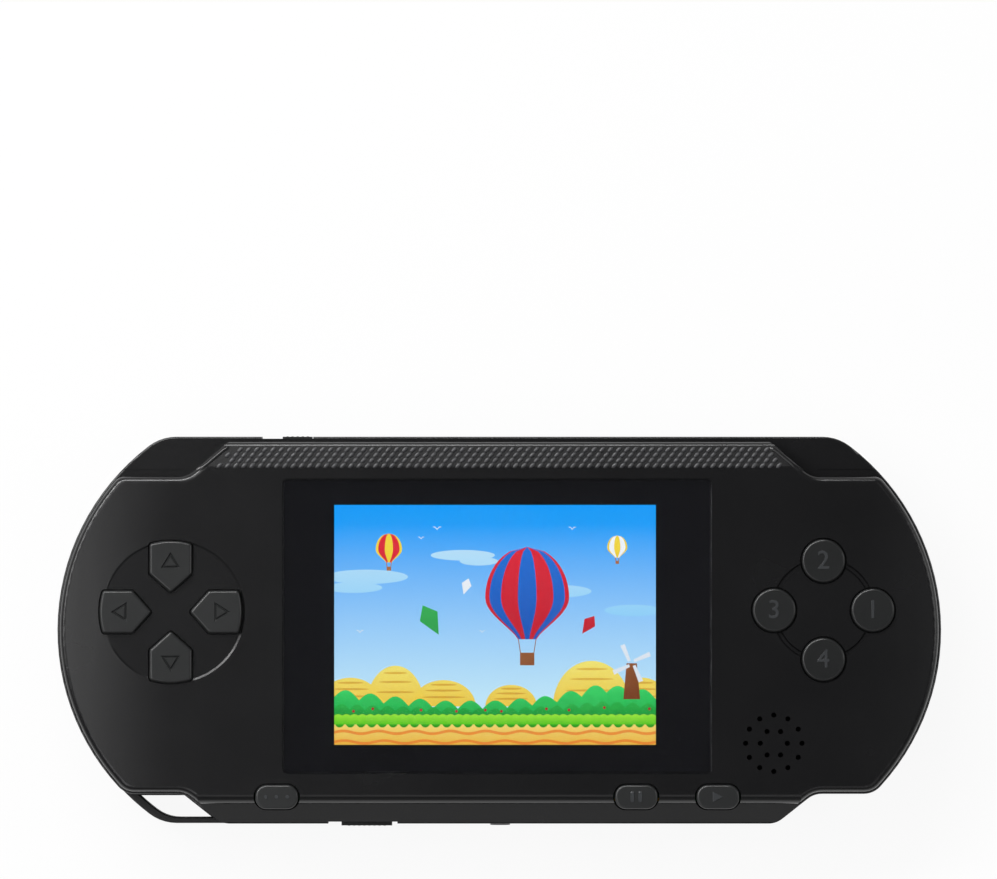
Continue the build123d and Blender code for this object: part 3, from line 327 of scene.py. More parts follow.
# %% Display glass, chip epoxy and shrink film
display_glass, tree, shader, place = new_material("display_glass", {"IOR": 1.52, "Roughness": 0.08})
column_pitch = 0.6 * mm
columns = add(tree, "TexWave", {"Vector": place, "Scale": band_scale(column_pitch)}, bands_direction="X")
colour = add(tree, "Mix", {"Factor": columns.outputs["Fac"], "A": linear("#0C1014"), "B": linear("#151B22")},
             data_type="RGBA")
tree.links.new(colour.outputs["Result"], shader.inputs["Base Color"])

chip_epoxy, tree, shader, place = new_material("moulded_epoxy", {"IOR": 1.55, "Roughness": 0.55})
filler_size = 0.4 * mm
filler = add(tree, "TexNoise", {"Vector": place, "Scale": 1 / filler_size, "Detail": 5.0})
colour = add(tree, "Mix", {"Factor": filler.outputs["Fac"], "A": linear("#09090A"), "B": linear("#26262A")},
             data_type="RGBA")
tree.links.new(colour.outputs["Result"], shader.inputs["Base Color"])

shrink_film, tree, shader, place = new_material(
    "blue_shrink_film", {"IOR": 1.55, "Roughness": 0.3, "Metallic": 0.4})
stretch_size = 12 * mm
stretch = add(tree, "TexWave", {"Vector": place, "Scale": band_scale(stretch_size), "Distortion": 2.0},
              bands_direction="X")
colour = add(tree, "Mix", {"Factor": stretch.outputs["Fac"], "A": linear("#27467A"), "B": linear("#34599A")},
             data_type="RGBA")
tree.links.new(colour.outputs["Result"], shader.inputs["Base Color"])
print("inner:", display_glass.name, chip_epoxy.name, shrink_film.name)

# %% [markdown]
# ## Every solid gets its finish
# The imported record says which material slot each solid belongs to. So the finishes are given out by slot,
# in one loop, and no solid is left with a stand-in colour. The rear shell and the battery door then get their
# own coarser ABS, and the round keys a darker copy of the key plastic, which is painted shade. The solids
# keep their own smooth normals.

# %% Give out the finishes by slot
finishes = {
    "case_plastic": case_abs,
    "key_plastic": key_abs,
    "lens_acrylic": lens_acrylic,
    "black_tape": black_print,
    "foam": foam,
    "steel": steel,
    "screen_glass": display_glass,
    "light_guide": light_guide,
    "flex_film": flat_cable,
    "board_laminate": board_mask,
    "chip_resin": chip_epoxy,
    "socket_plastic": socket_nylon,
    "bright_metal": can_aluminium,
    "mat_rubber": silicone,
    "screw_steel": screw_steel,
    "cloth": cloth,
    "cone_film": cone_film,
    "battery_wrap": shrink_film,
    "brass": gold_brass,
}
for part in frame["record"]["subparts"]:
    mesh = nodes[part["node"]].data
    mesh.materials.clear()
    mesh.materials.append(finishes[part["material_slot"]])
for node in ("rear_shell", "battery_door"):
    nodes[node].data.materials[0] = rear_abs
# The round keys get the darker copy of the key plastic, which is painted shade.
for number in range(1, 5):
    nodes[f"action_key_{number}"].data.materials[0] = round_key_abs_painted_shade
# The tape touches the lens, and two faces in one plane would flicker. A modifier thins the tape a little.
tape_gap = 0.02 * mm
thinner = nodes["lens_tape"].modifiers.new("air", "DISPLACE")
thinner.mid_level = 0.0
thinner.strength = -tape_gap

# %% [markdown]
# ## From points to pieces
# All the added relief but the numbers is drawn as rings of points. One function turns the rings into a mesh:
# it joins each ring to the next with faces and closes the last one. The same function makes a flat shape
# from a single ring. The meshes are made with bmesh, Blender's own way to build faces from Python.

# %% A mesh from stacked rings


def piece_from_rings(name, stacks, material, body, smooth=True):
    """A piece of one or more stacks of rings. Each ring is a list of points, and the last one is closed."""
    shape = bmesh.new()
    for rings in stacks:
        verts = [[shape.verts.new(point) for point in ring] for ring in rings]
        for lower, upper in zip(verts, verts[1:]):
            for place, vert in enumerate(lower):
                after = (place + 1) % len(lower)
                shape.faces.new((vert, lower[after], upper[after], upper[place]))
        shape.faces.new(verts[-1])
    mesh = bpy.data.meshes.new(name)
    shape.to_mesh(mesh)
    shape.free()
    mesh.polygons.foreach_set("use_smooth", [smooth] * len(mesh.polygons))
    mesh.materials.append(material)
    piece = bpy.data.objects.new(name, mesh)
    bpy.context.scene.collection.objects.link(piece)
    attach(piece, body)
    return piece


def ring_points(centre, across, up, count, power=2.0):
    """Points round an ellipse, or round a softened rectangle at a higher power."""
    points = []
    for step in range(count):
        turn = 2 * math.pi * step / count
        x, y = math.cos(turn), math.sin(turn)
        points.append((centre[0] + across * math.copysign(abs(x) ** (2 / power), x),
                       centre[1] + up * math.copysign(abs(y) ** (2 / power), y)))
    return points


# %% [markdown]
# ## The knurled band
# Under the top edge runs a slope with four rows of slanted pips, a grip that was milled into the mould.
# Each row stands half a pitch off the last, so the pips read as a weave of short strokes. A bump texture
# would be flat in side views, so each pip is real relief: a softened lozenge, leaned over, that narrows to
# a small flat top. Rows get shorter towards the top, because the band ends in a slant. The pips are painted a
# paler grey than the case, which is painted highlight for the light that the upward-facing slope catches.

# %% Where the band lies
front_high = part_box("front_shell")[1]
band_from_edge = 0.95 * mm
band_width = 4.4 * mm
band_fall = 1.4 * mm
band_foot_y = front_high.y - band_from_edge - band_width
band_angle = math.atan2(band_fall, band_width)
pip_pitch = 1.46 * mm
row_pitch = 0.98 * mm
first_row = 0.26 * mm
row_count = 4
low_row_reach = 50.6 * mm
high_row_reach = 48.0 * mm
print("band slopes by", round(math.degrees(band_angle), 1), "degrees")

# %% Four rows of pips


def on_band(x, up, rise):
    """A point on the slope: along it, up it from its foot, and out of it."""
    y = band_foot_y + up * math.cos(band_angle) + rise * math.sin(band_angle)
    z = front_high.z - up * math.sin(band_angle) + rise * math.cos(band_angle)
    return x, y, z


def pip(x, up):
    """One leaned lozenge: a sunk foot, a shoulder and a small flat top."""
    half_across = 0.46 * mm
    half_up = 0.52 * mm
    lean = 0.55
    pip_height = 0.26 * mm
    foot_sink = 0.06 * mm
    corners = 10
    profile = ((1.0, -foot_sink), (0.95, pip_height / 3), (0.72, pip_height * 0.8), (0.4, pip_height))
    rings = []
    for share, rise in profile:
        ring = ring_points((0, 0), half_across * share, half_up * share, corners, power=2.6)
        rings.append([on_band(x + a + lean * b, up + b, rise) for a, b in ring])
    return rings


pips = []
for row in range(row_count):
    reach = low_row_reach + (high_row_reach - low_row_reach) * row / (row_count - 1)
    shift = pip_pitch / 2 * (row % 2)
    steps = int((reach - shift) / pip_pitch)
    for step in range(-steps, steps + 1):
        pips.append(pip(step * pip_pitch + shift, first_row + row * row_pitch))
# The pips' paler grey is painted highlight, for the light that the upward-facing slope catches.
band_abs_painted_highlight = moulded_abs("knurled_abs_painted_highlight", "#353537", "#404042", 0.28, 0.36, pit_size)
knurl = piece_from_rings("grip_pips", pips, band_abs_painted_highlight, "case")
print(len(pips), "pips,", len(knurl.data.polygons), "faces")

# %% [markdown]
# ## The lip at the band's slanted ends
# At both ends the band stops at a slant, and a low round lip runs up that slant into the band's top edge.
# It is what draws a bright line there. A curve with a round bevel would reach into the hollow shell, so the
# lip is swept one point at a time: a low arched cross-section, whose foot is sunk in the slope, is set across
# each point of a line, and the rings are joined. Towards both ends the arch sinks away.

# %% A lip swept up each slant
slant_foot = (55.4 * mm, 27.275 * mm)
slant_head = (48.2 * mm, 33.425 * mm)
lip_half = 0.6 * mm
lip_rise = 0.2 * mm
lip_sink = 0.25 * mm
lip_start = 1.9 * mm
lip_end = 7.6 * mm
lip_inset = 0.55 * mm
lip_bend = 3.0 * mm
arch_steps = 4
straight_steps = 8
bend_steps = 6
growing_steps = 2
fading_steps = 3


def slope_height(y):
    """The height of the band's slope at a place along Y."""
    return front_high.z - max(0.0, y - band_foot_y) * math.tan(band_angle)


def lip_ring(spot, heading, arch):
    """An arched cross-section over the slope, across the line's heading."""
    x, y = spot
    across = (-heading[1], heading[0])
    ring = []
    for step in range(-arch_steps, arch_steps + 1):
        share = step / arch_steps
        side = (x + across[0] * lip_half * share, y + across[1] * lip_half * share)
        lift = (lip_rise + lip_sink) * arch * (1 - share**2) - lip_sink
        ring.append((*side, slope_height(side[1]) + lift))
    return ring


def lip_line():
    """Points and headings up the left slant and round into the top edge."""
    run, rise = slant_foot[0] - slant_head[0], slant_head[1] - slant_foot[1]
    length = math.hypot(run, rise)
    up = (run / length, rise / length)
    line = []
    for step in range(straight_steps + 1):
        way = lip_start + (lip_end - lip_start) * step / straight_steps
        x = -slant_foot[0] + up[0] * way + up[1] * lip_inset
        y = slant_foot[1] + up[1] * way - up[0] * lip_inset
        line.append(((x, y), up))
    turn = math.atan2(up[1], up[0])
    middle = (x + lip_bend * math.sin(turn), y - lip_bend * math.cos(turn))
    for step in range(1, bend_steps + 1):
        angle = turn * (1 - step / bend_steps)
        spot = (middle[0] - lip_bend * math.sin(angle), middle[1] + lip_bend * math.cos(angle))
        line.append((spot, (math.cos(angle), math.sin(angle))))
    return line


line = lip_line()
last = len(line) - 1
lip = [lip_ring(spot, heading, min(1.0, step / growing_steps, (last - step) / fading_steps))
       for step, (spot, heading) in enumerate(line)]
mirrored = [[(-x, y, z) for x, y, z in ring[::-1]] for ring in lip]
slant_lips = piece_from_rings("slant_lips", [lip, mirrored], case_abs, "case")
print(slant_lips.name, "end at", [round(v / mm, 2) for v in line[-1][0]])

# %% [markdown]
# ## Marks on the keys
# Keys are told apart by small raised marks that are hardly lighter than the key: here plain numbers from
# 1 to 4 on the round keys, and three dots, two bars and a pointer on the pills. Numbers are text objects,
# which Blender can raise and bevel itself, and the pills' marks are small rings of points. Each mark rides
# on its own key, so it goes down with it.

# %% Numbers on the round keys
mark_abs = moulded_abs("raised_mark_abs", "#303234", "#37393B", 0.3, 0.38, pit_size)
number_size = 4.6 * mm
mark_rise = 0.05 * mm
mark_bevel = 0.03 * mm
for number in range(1, 5):
    body = f"action_key_{number}"
    low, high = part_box(body)
    text = bpy.data.curves.new(f"{body}_number", "FONT")
    text.body = str(number)
    text.size = number_size
    text.align_x = "CENTER"
    text.align_y = "CENTER"
    text.extrude = mark_rise
    text.bevel_depth = mark_bevel
    text.materials.append(mark_abs)
    mark = bpy.data.objects.new(f"{body}_number", text)
    mark.location = ((low.x + high.x) / 2, (low.y + high.y) / 2, high.z)
    bpy.context.scene.collection.objects.link(mark)
    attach(mark, body)
print("numbers stand", round((mark_rise + mark_bevel) / mm, 3), "mm proud")

# %% Dots, bars and a pointer on the pills


def raised(outline, top, rise):
    """Rings that lift an outline off a surface, with a slightly smaller top."""
    top_share = 0.86
    middle_x = sum(x for x, y in outline) / len(outline)
    middle_y = sum(y for x, y in outline) / len(outline)
    drawn_in = [(middle_x + (x - middle_x) * top_share, middle_y + (y - middle_y) * top_share)
                for x, y in outline]
    return [[(x, y, top - rise) for x, y in outline], [(x, y, top + rise / 2) for x, y in outline],
            [(x, y, top + rise) for x, y in drawn_in]]


pill_width = 4.3 * mm
pill_rise = 0.12 * mm
bar_length = 0.7 * mm
bar_width = 1.9 * mm
dot_corners = 16
bar_corners = 20
for key in ("reset_key", "select_key", "start_key"):
    low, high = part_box(key)
    x, y, top = (low.x + high.x) / 2, low.y + pill_width / 2, high.z
    if key == "reset_key":
        outlines = [ring_points((x + step * bar_width, y), bar_length / 2, bar_length / 2, dot_corners)
                    for step in (-1, 0, 1)]
    elif key == "select_key":
        outlines = [ring_points((x + step * bar_length, y), bar_length / 2, bar_width / 2, bar_corners,
                                power=5.0) for step in (-1, 1)]
    else:
        outlines = [[(x + bar_width / 2, y), (x - bar_width / 2, y + bar_width / 2),
                     (x - bar_width / 2, y - bar_width / 2)]]
    stacks = [raised(outline, top, pill_rise) for outline in outlines]
    piece_from_rings(f"{key}_mark", stacks, mark_abs, key, smooth=False)
    print(key, "mark at", round(x / mm, 1), round(y / mm, 1))

# %% [markdown]
# ## Ribs on the two slides
# A thumb needs something to push, so both slides have upright ribs. They are half round and run the
# height of the knob. Each is a small stack of rings that stands on the knob's outer face and rides with it.

# %% Ribs for the thumb


def ribs(knob, body, side, count):
    """Upright half-round ribs along a slide's outer face."""
    low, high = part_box(knob)
    rib_pitch = 0.9 * mm
    rib_height = 0.07 * mm
    rib_half_share = 0.32
    corners = 12
    middle_x = (low.x + high.x) / 2
    face_y = high.y if side > 0 else low.y
    middle_z = (low.z + high.z) / 2
    half_z = 0.9 * mm
    stacks = []
    for step in range(count):
        x = middle_x + (step - (count - 1) / 2) * rib_pitch
        rings = []
        for share, rise in ((1.0, -rib_height), (0.8, rib_height / 2), (0.4, rib_height)):
            half_x = rib_pitch * rib_half_share * share
            outline = ring_points((x, middle_z), half_x, half_z * (0.9 + 0.1 * share), corners, power=4.0)
            rings.append([(a, face_y + side * rise, b) for a, b in outline])
        stacks.append(rings if side < 0 else [ring[::-1] for ring in rings])
    return piece_from_rings(f"{knob}_ribs", stacks, key_abs, body)


power_ribs = ribs("power_knob", "power_slide", 1, 5)
volume_ribs = ribs("volume_knob", "volume_slide", -1, 8)
print("ribs:", power_ribs.name, volume_ribs.name)

# %% [markdown]
# ## A picture for the display
# The display is switched on and shows a plain landscape: a blue sky with thin clouds, sandy hills, bushes,
# a strip of grass over layered soil, hot-air balloons, kites, a windmill and birds. An image file would be
# the short way, but a drawing in layers of flat shapes stays sharp at any distance and every shape can be
# changed. The layers lie a hair apart over the display's glass. They shine by themselves, so the shader is
# all emission at a strength close to 1, which shows a colour as it is written. Fine upright lines darken
# the colour between the columns of pixels: 320 columns on 57 mm make a pitch of 0.18 mm.

# %% Where the picture lies
pad_low, pad_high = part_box("lcd_pad")
cover_low, cover_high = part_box("lcd_frame")
glass_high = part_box("lcd_panel")[1]
cover_margin = 3.7 * mm
left, right = pad_low.x, pad_high.x
bottom, top = cover_low.y + cover_margin, cover_high.y - cover_margin
picture_length, picture_height = right - left, top - bottom
layer_gap = 0.02 * mm
picture_columns = 320
pixel_pitch = picture_length / picture_columns
glow_strength = 1.06
between_pixels = 0.94
print("picture", round(picture_length / mm, 1), "by", round(picture_height / mm, 1), "mm")

# %% Light through pixels


def glow(name, low_colour, high_colour, from_share=0.0, to_share=1.0, drift=0.0):
    """Emission that blends from a low to a high colour between two shares of the picture's height."""
    material, tree, shader, place = new_material(
        name, {"Base Color": linear("#000000"), "Roughness": 0.6, "Emission Strength": glow_strength})
    split = add(tree, "SeparateXYZ", {"Vector": place})
    climb = add(tree, "MapRange", {"Value": split.outputs["Y"],
                                   "From Min": bottom + picture_height * from_share,
                                   "From Max": bottom + picture_height * to_share})
    patch = add(tree, "TexNoise", {"Vector": place, "Scale": 1 / mm, "Detail": 2.0})
    shift = add(tree, "MapRange", {"Value": patch.outputs["Fac"], "To Min": -drift, "To Max": drift})
    level = add(tree, "Math", {0: climb.outputs["Result"], 1: shift.outputs["Result"]}, operation="ADD",
                use_clamp=True)
    colour = add(tree, "Mix", {"Factor": level.outputs[0], "A": linear(low_colour), "B": linear(high_colour)},
                 data_type="RGBA")
    grid = add(tree, "TexWave", {"Vector": place, "Scale": band_scale(pixel_pitch)}, bands_direction="X")
    dim = add(tree, "MapRange", {"Value": grid.outputs["Fac"], "To Min": between_pixels, "To Max": 1.0})
    pixels = add(tree, "VectorMath", {0: colour.outputs["Result"], 1: dim.outputs["Result"]},
                 operation="MULTIPLY")
    tree.links.new(pixels.outputs["Vector"], shader.inputs["Emission Color"])
    return material


def paint(name, outlines, layer, material):
    """Flat shapes of one colour on one layer. Outlines are in shares of the picture."""
    z = glass_high.z + layer * layer_gap
    stacks = [[[(left + u * picture_length, bottom + v * picture_height, z) for u, v in outline]]
              for outline in outlines]
    return piece_from_rings(f"picture_{name}", stacks, material, "case", smooth=False)


def clipped(outline):
    """An outline that is kept inside the picture."""
    return [(min(max(u, 0.0), 1.0), min(max(v, 0.0), 1.0)) for u, v in outline]


# %% The sky and its clouds
sky = glow("sky_light", "#C6EEFF", "#01A2FF", 0.2, 0.92)
paint("sky", [[(0, 0), (1, 0), (1, 1), (0, 1)]], 1, sky)
wide = picture_length / picture_height
cloud_shares = [(0.10, 0.70, 0.13, 0.030), (0.06, 0.655, 0.09, 0.022), (0.40, 0.79, 0.10, 0.022),
                (0.45, 0.765, 0.06, 0.018), (0.70, 0.64, 0.10, 0.026), (0.93, 0.56, 0.09, 0.024)]
cloud_light = glow("cloud_light", "#8FD6FF", "#BDE8FF", 0.5, 0.8)
clouds = [clipped(ring_points((u, v), across, up, 40)) for u, v, across, up in cloud_shares]
paint("clouds", clouds, 2, cloud_light)
print(len(clouds), "clouds")

# %% Hills with sandy stripes


def mound(u, foot, half, height, count=24):
    """The upper half of an ellipse."""
    arc = [(u + half * math.cos(math.pi * step / count), foot + height * math.sin(math.pi * step / count))
           for step in range(count + 1)]
    return clipped(arc)


hill_shares = [(0.05, 0.16, 0.10, 0.12), (0.19, 0.16, 0.09, 0.17), (0.34, 0.16, 0.10, 0.11),
               (0.55, 0.16, 0.08, 0.09), (0.80, 0.16, 0.12, 0.19), (0.96, 0.16, 0.08, 0.12)]
hill_light = glow("hill_light", "#F2C83C", "#FCEB70", 0.14, 0.34, drift=0.12)
paint("hills", [mound(u, v, half, height) for u, v, half, height in hill_shares], 3, hill_light)
stripe_light = glow("hill_stripe_light", "#DCA52C", "#E8BC44", 0.14, 0.34)
stripe_reach_share = 0.72
stripe_half = 0.0045
stripes = []
for u, foot, half, height in hill_shares:
    for level_share in (0.35, 0.6, 0.82):
        reach = half * math.sqrt(1 - level_share**2) * stripe_reach_share
        v = foot + height * level_share
        stripes.append(clipped(ring_points((u, v), reach, stripe_half, 16)))
paint("hill_stripes", stripes, 4, stripe_light)
print(len(hill_shares), "hills,", len(stripes), "stripes")

# %% Bushes, grass and layered soil


def bumpy(foot, levels, bumps, lift):
    """A strip whose upper edge is a row of round bumps over a line of heights."""
    steps = bumps * 8
    edge = []
    for step in range(steps + 1):
        u = step / steps
        place = u * (len(levels) - 1)
        index = min(int(place), len(levels) - 2)
        level = levels[index] + (levels[index + 1] - levels[index]) * (place - index)
        edge.append((u, level + lift * abs(math.sin(math.pi * u * bumps))))
    return [(0.0, foot), (1.0, foot)] + edge[::-1]


back_bush_light = glow("back_bush_light", "#10B04A", "#3CDC6A", 0.12, 0.27, drift=0.25)
bush_light = glow("bush_light", "#0C9A34", "#2FC850", 0.12, 0.22, drift=0.3)
paint("back_bushes", [bumpy(0.1, (0.20, 0.17, 0.15, 0.15, 0.17, 0.22, 0.19), 13, 0.035)], 5, back_bush_light)
paint("bushes", [bumpy(0.1, (0.15, 0.14, 0.135, 0.13, 0.14, 0.16, 0.15), 21, 0.022)], 6, bush_light)
grass_light = glow("grass_light", "#58CC14", "#A6EE3C", 0.085, 0.135, drift=0.2)
paint("grass", [bumpy(0.085, (0.122, 0.122), 40, 0.006)], 9, grass_light)
edge_light = glow("grass_edge_light", "#1C9A0E", "#3CB81C", 0.07, 0.1)
soil_top = 0.098
scallop_count = 30
scallop_half = 1 / 62
scallop_drop = 0.026
scallops = [mound((step + 0.5) / scallop_count, soil_top, scallop_half, -scallop_drop, 10)
            for step in range(scallop_count)]
paint("grass_edge", scallops, 8, edge_light)
soil_light = glow("soil_light", "#F0B83C", "#FBDD74", 0.0, 0.09, drift=0.15)
paint("soil", [[(0, 0), (1, 0), (1, soil_top), (0, soil_top)]], 7, soil_light)


def wavy(level, thick, waves, swing):
    """A thin wavy line right across."""
    steps = waves * 10
    high = [(step / steps, level + thick / 2 + swing * math.sin(2 * math.pi * waves * step / steps))
            for step in range(steps + 1)]
    low = [(u, v - thick) for u, v in high]
    return clipped(low + high[::-1])


vein_light = glow("soil_vein_light", "#F08A2C", "#F49A3C", 0.0, 0.09)
paint("soil_veins", [wavy(0.052, 0.012, 9, 0.006), wavy(0.012, 0.011, 8, 0.006)], 8, vein_light)
print("ground: bushes, grass, soil and two veins")

# %% [markdown]
# ### Balloons
# A balloon is a globe of long panels that narrows to its mouth. Seen from the side, a panel's edge lies at
# the outline's half width times the sine of its turn round the globe, so the panels get narrower towards
# the sides by themselves. Panels of one colour are one piece. Below hangs a woven basket on two lines.

# %% Panels, basket and lines
widest_share = 0.45
mouth_share = 0.22
balloon_height = 2.2
basket_share = 0.17
basket_height = 0.3
basket_drop = 0.62
line_thick = 0.0025


def balloon_half(t):
    """The balloon's half width at a share of its height, from the mouth at 0 to the crown at 1."""
    if t > widest_share:
        return math.sqrt(max(0.0, 1 - ((t - widest_share) / (1 - widest_share)) ** 2))
    return mouth_share + (1 - mouth_share) * math.sin(math.pi / 2 * t / widest_share) ** 1.3


def balloon_panel(u, v, size, index, count):
    """One panel between two turns round the balloon."""
    steps = 20
    edges = []
    for turn_step in (index, index + 1):
        turn = math.pi * (turn_step / count - 0.5)
        edges.append([(u + size * balloon_half(step / steps) * math.sin(turn) / wide,
                       v + balloon_height * size * step / steps) for step in range(steps + 1)])
    return edges[0] + edges[1][::-1]


def box_shape(u, v, half, height):
    """An upright rectangle on a foot."""
    return [(u - half, v), (u + half, v), (u + half, v + height), (u - half, v + height)]


red_light = glow("red_light", "#B80820", "#F02438", 0.3, 0.95, drift=0.1)
blue_light = glow("blue_light", "#0A48A8", "#1C78E0", 0.3, 0.95, drift=0.1)
white_light = glow("white_light", "#E4ECF4", "#FFFFFF", 0.3, 0.9)
yellow_light = glow("yellow_light", "#F0A800", "#FFE640", 0.3, 0.95, drift=0.1)
green_light = glow("green_light", "#1C8C3C", "#3CC85C", 0.3, 0.8, drift=0.1)
brown_light = glow("brown_light", "#7A3C14", "#B4703C", 0.2, 0.6, drift=0.2)
balloons = {
    "large": (0.60, 0.44, 0.175, 7, (red_light, blue_light)),
    "small": (0.17, 0.76, 0.055, 5, (yellow_light, red_light)),
    "far": (0.88, 0.78, 0.042, 5, (yellow_light, white_light)),
}
for name, (u, v, size, count, colours) in balloons.items():
    for which, light in enumerate(colours):
        panels = [balloon_panel(u, v, size, index, count) for index in range(which, count, 2)]
        paint(f"{name}_balloon_{which}", panels, 11 + which, light)
    basket_half, mouth_half = size * basket_share / wide, size * mouth_share / wide
    basket_foot = v - size * basket_drop
    basket_top = basket_foot + size * basket_height
    basket = box_shape(u, basket_foot, basket_half, size * basket_height)
    lines = [[(u + side * basket_half, basket_top), (u + side * mouth_half, v),
              (u + side * (mouth_half - line_thick), v),
              (u + side * (basket_half - line_thick), basket_top)] for side in (-1, 1)]
    paint(f"{name}_basket", [basket, *lines], 13, brown_light)
print(len(balloons), "balloons")

# %% Kites, birds and a windmill


def kite(u, v, size, turn):
    """A long diamond, turned about its middle."""
    points = []
    for a, b in ((0, 1.0), (0.6, 0.25), (0, -1.0), (-0.6, 0.25)):
        x = size * (a * math.cos(turn) - b * math.sin(turn))
        y = size * (a * math.sin(turn) + b * math.cos(turn))
        points.append((u + x / wide, v + y))
    return points


def bird(u, v, span):
    """Two bent wings."""
    half = span / wide
    shares = ((-1, 0.4), (-0.45, 0.5), (0, 0), (0.45, 0.5), (1, 0.4), (0.42, 0.28), (0, -0.22), (-0.42, 0.28))
    return [(u + half * across, v + span * up) for across, up in shares]


paint("green_kite", [kite(0.30, 0.52, 0.07, 0.5)], 11, green_light)
paint("red_kite", [kite(0.79, 0.50, 0.045, -0.6)], 11, red_light)
paint("white_kite", [kite(0.41, 0.66, 0.035, -0.3)], 11, white_light)
bird_shares = [(0.32, 0.90, 0.020), (0.27, 0.86, 0.015), (0.74, 0.90, 0.018), (0.46, 0.47, 0.014),
               (0.08, 0.47, 0.017)]
paint("birds", [bird(u, v, span) for u, v, span in bird_shares], 12, white_light)
mill_u, mill_foot = 0.925, 0.19
mill_head = mill_foot + 0.15
foot_half, head_half = 0.026, 0.016
tower = [(mill_u - foot_half, mill_foot), (mill_u + foot_half, mill_foot), (mill_u + head_half, mill_head),
         (mill_u - head_half, mill_head)]
paint("mill_tower", [tower], 10, brown_light)
sail_root, sail_tip, sail_width = 0.012, 0.085, 0.02
sail_corners = ((sail_root, 0), (sail_tip, 0), (sail_tip, sail_width), (sail_root, sail_width * 0.6))
first_turn = 0.35
sails = []
for step in range(4):
    turn = first_turn + step * math.pi / 2
    sails.append([(mill_u + (a * math.cos(turn) - b * math.sin(turn)) / wide,
                   mill_head + a * math.sin(turn) + b * math.cos(turn)) for a, b in sail_corners])
paint("mill_sails", sails, 13, white_light)
flower_shares = [(0.06, 0.14), (0.12, 0.15), (0.27, 0.145), (0.38, 0.14), (0.47, 0.145), (0.52, 0.14),
                 (0.66, 0.15), (0.73, 0.145), (0.84, 0.155), (0.98, 0.15)]
flower_half = 0.006
flowers = [ring_points((u, v), flower_half / wide, flower_half, 8) for u, v in flower_shares]
paint("flowers", flowers, 10, red_light)
print(len(bird_shares), "birds and", len(flower_shares), "flowers")

# %% [markdown]
# ## Floor, world and lamps
# The console lies on a white floor, as in a catalogue picture. The floor shows white to the camera and to
# glossy and clear surfaces, and still takes a part of its light from the lamps, so the console's shadow
# stays. It has one side only: from below it is clear, so the console's back can be looked at. The sky of this
# little world is pale at the horizon and dark overhead, because the flat face of the console mirrors what is
# over it and the real one looks nearly black. Soft lamps stand round it. A bright strip behind the top edge
# and a weaker one on the left draw the bright edges. Both are narrow, so the face mirrors them from few
# places only. A high lamp on the left makes the face paler towards that end, and weak ones lift the right
# and the bottom.

# %% White floor
floor_reach = 3.0
floor_gap = 0.02 * mm
white_share = 0.92
floor_mesh = bpy.data.meshes.new("floor")
floor_mesh.from_pydata(
    [(-floor_reach, -floor_reach, 0), (floor_reach, -floor_reach, 0), (floor_reach, floor_reach, 0),
     (-floor_reach, floor_reach, 0)], [], [(0, 1, 2, 3)])
floor = bpy.data.objects.new("floor", floor_mesh)
floor.location.z = -floor_gap
bpy.context.scene.collection.objects.link(floor)
floor_paint = bpy.data.materials.new("white_floor")
floor_paint.use_nodes = True
tree = floor_paint.node_tree
tree.nodes.clear()
matte = add(tree, "BsdfDiffuse", {"Color": linear("#F2F2F2")})
white = add(tree, "Emission", {"Color": linear("#FFFFFF"), "Strength": 1.0})
path = add(tree, "LightPath")
seen = add(tree, "Math", {0: path.outputs["Is Camera Ray"], 1: path.outputs["Is Glossy Ray"]},
           operation="MAXIMUM")
seen = add(tree, "Math", {0: seen.outputs[0], 1: path.outputs["Is Transmission Ray"]}, operation="MAXIMUM")
part = add(tree, "Math", {0: seen.outputs[0], 1: white_share}, operation="MULTIPLY")
blend = add(tree, "MixShader", {0: part.outputs[0], 1: matte.outputs[0], 2: white.outputs[0]})
clear = add(tree, "BsdfTransparent")
underside = add(tree, "NewGeometry").outputs["Backfacing"]
one_sided = add(tree, "MixShader", {0: underside, 1: blend.outputs[0], 2: clear.outputs[0]})
add(tree, "OutputMaterial", {"Surface": one_sided.outputs[0]})
floor_mesh.materials.append(floor_paint)
floor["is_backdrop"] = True
print("floor reaches", floor_reach, "m each way")

# %% World that is pale at the horizon
world = bpy.data.worlds.new("studio")
bpy.context.scene.world = world
world.use_nodes = True
tree = world.node_tree
tree.nodes.clear()
direction = add(tree, "TexCoord").outputs["Generated"]
height = add(tree, "SeparateXYZ", {"Vector": direction}).outputs["Z"]
fade = add(tree, "ValToRGB", {"Fac": height})
fade.color_ramp.elements[0].position = 0.0
fade.color_ramp.elements[0].color = (0.35, 0.35, 0.35, 1.0)
fade.color_ramp.elements[1].position = 0.8
fade.color_ramp.elements[1].color = (0.06, 0.06, 0.065, 1.0)
world_light = add(tree, "Background", {"Color": fade.outputs["Color"], "Strength": 1.0})
add(tree, "OutputWorld", {"Surface": world_light.outputs[0]})
print("world:", world.name)

# %% Soft lamps


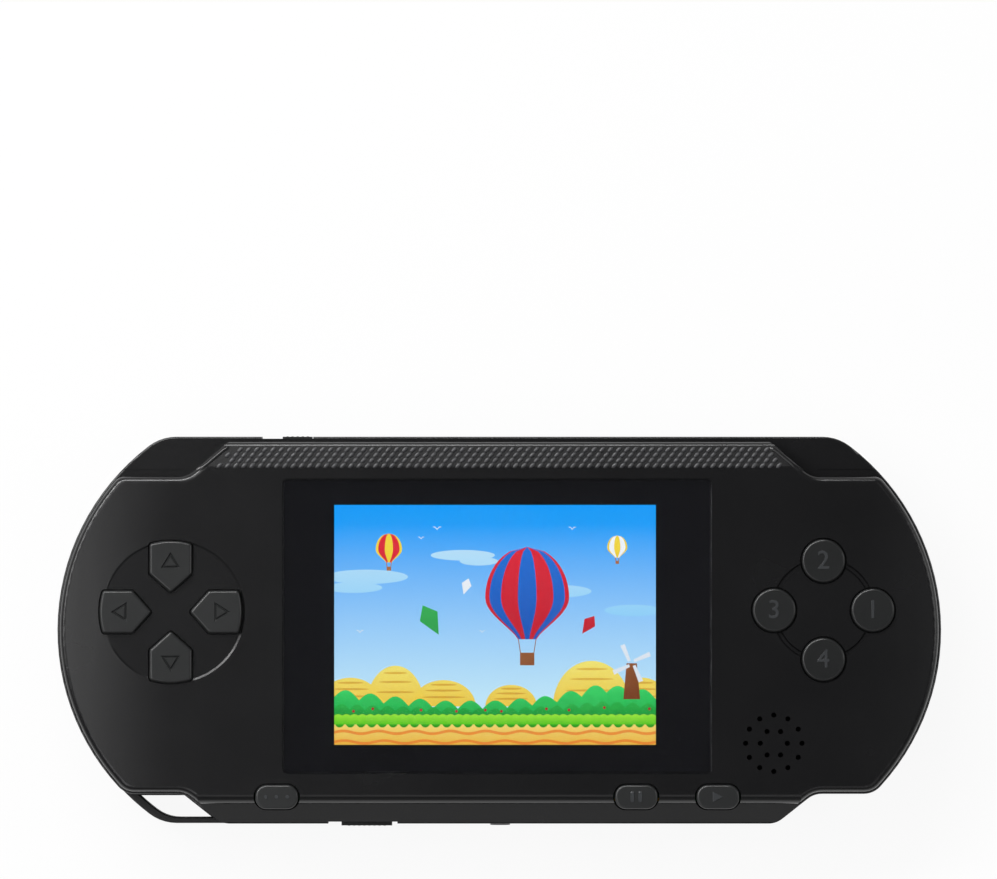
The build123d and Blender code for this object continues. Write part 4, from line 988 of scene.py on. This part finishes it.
def soft_lamp(name, azimuth, elevation, length, height, radiance):
    """A flat lamp that looks at the console from a direction, as bright as its radiance says."""
    away = 0.9
    lamp = bpy.data.lights.new(name, "AREA")
    lamp.shape = "RECTANGLE"
    lamp.size = length
    lamp.size_y = height
    lamp.energy = radiance * math.pi * length * height
    stand = bpy.data.objects.new(name, lamp)
    turn, lift = math.radians(azimuth), math.radians(elevation)
    stand.location = (away * math.cos(lift) * math.cos(turn), away * math.cos(lift) * math.sin(turn),
                      away * math.sin(lift))
    stand.rotation_euler = (-stand.location).to_track_quat("-Z", "Y").to_euler()
    bpy.context.scene.collection.objects.link(stand)


soft_lamp("left_high_lamp", 176, 68, 0.95, 0.3, 1.95)
soft_lamp("left_low_lamp", 165, 38, 0.5, 0.16, 6.0)
soft_lamp("top_lamp", 118, 39, 0.9, 0.14, 18.0)
soft_lamp("right_lamp", 0, 66, 0.7, 0.25, 0.5)
soft_lamp("right_low_lamp", 8, 28, 0.4, 0.4, 1.6)
soft_lamp("bottom_lamp", 270, 57, 1.0, 0.25, 0.7)
print("lamps:", [item.name for item in bpy.data.lights])

# %% [markdown]
# ## Camera
# The portrait was taken from straight above with a long lens, so the camera looks down and its lens is
# long too. Its distance follows from the size that one pixel of the picture has on the console's face. The
# console lies low in the frame, so the camera stands further up, along the console's own Y.

# %% Camera over the console
picture_pixels = (997, 879)
console_pixel = (499.3, 630.5)
pixel_size = 0.1774 * mm
camera_data = bpy.data.cameras.new("portrait")
camera_data.lens = 600
camera_data.sensor_width = 36
frame_length = picture_pixels[0] * pixel_size
distance = frame_length * camera_data.lens / camera_data.sensor_width
camera = bpy.data.objects.new("portrait", camera_data)
camera.location = ((picture_pixels[0] / 2 - console_pixel[0]) * pixel_size,
                   (console_pixel[1] - picture_pixels[1] / 2) * pixel_size,
                   front_high.z + distance)
bpy.context.scene.collection.objects.link(camera)
bpy.context.scene.camera = camera
bpy.context.scene.view_settings.view_transform = "Standard"
print("camera", round(distance, 3), "m over the face")

# %% Write the sizes and finish
dressed_low, dressed_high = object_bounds()
grown = [round((a - b) / mm, 3) for a, b in zip((*dressed_low, *dressed_high), (*solid_low, *solid_high))]
print("dressed box against the solids' box, in mm:", grown)
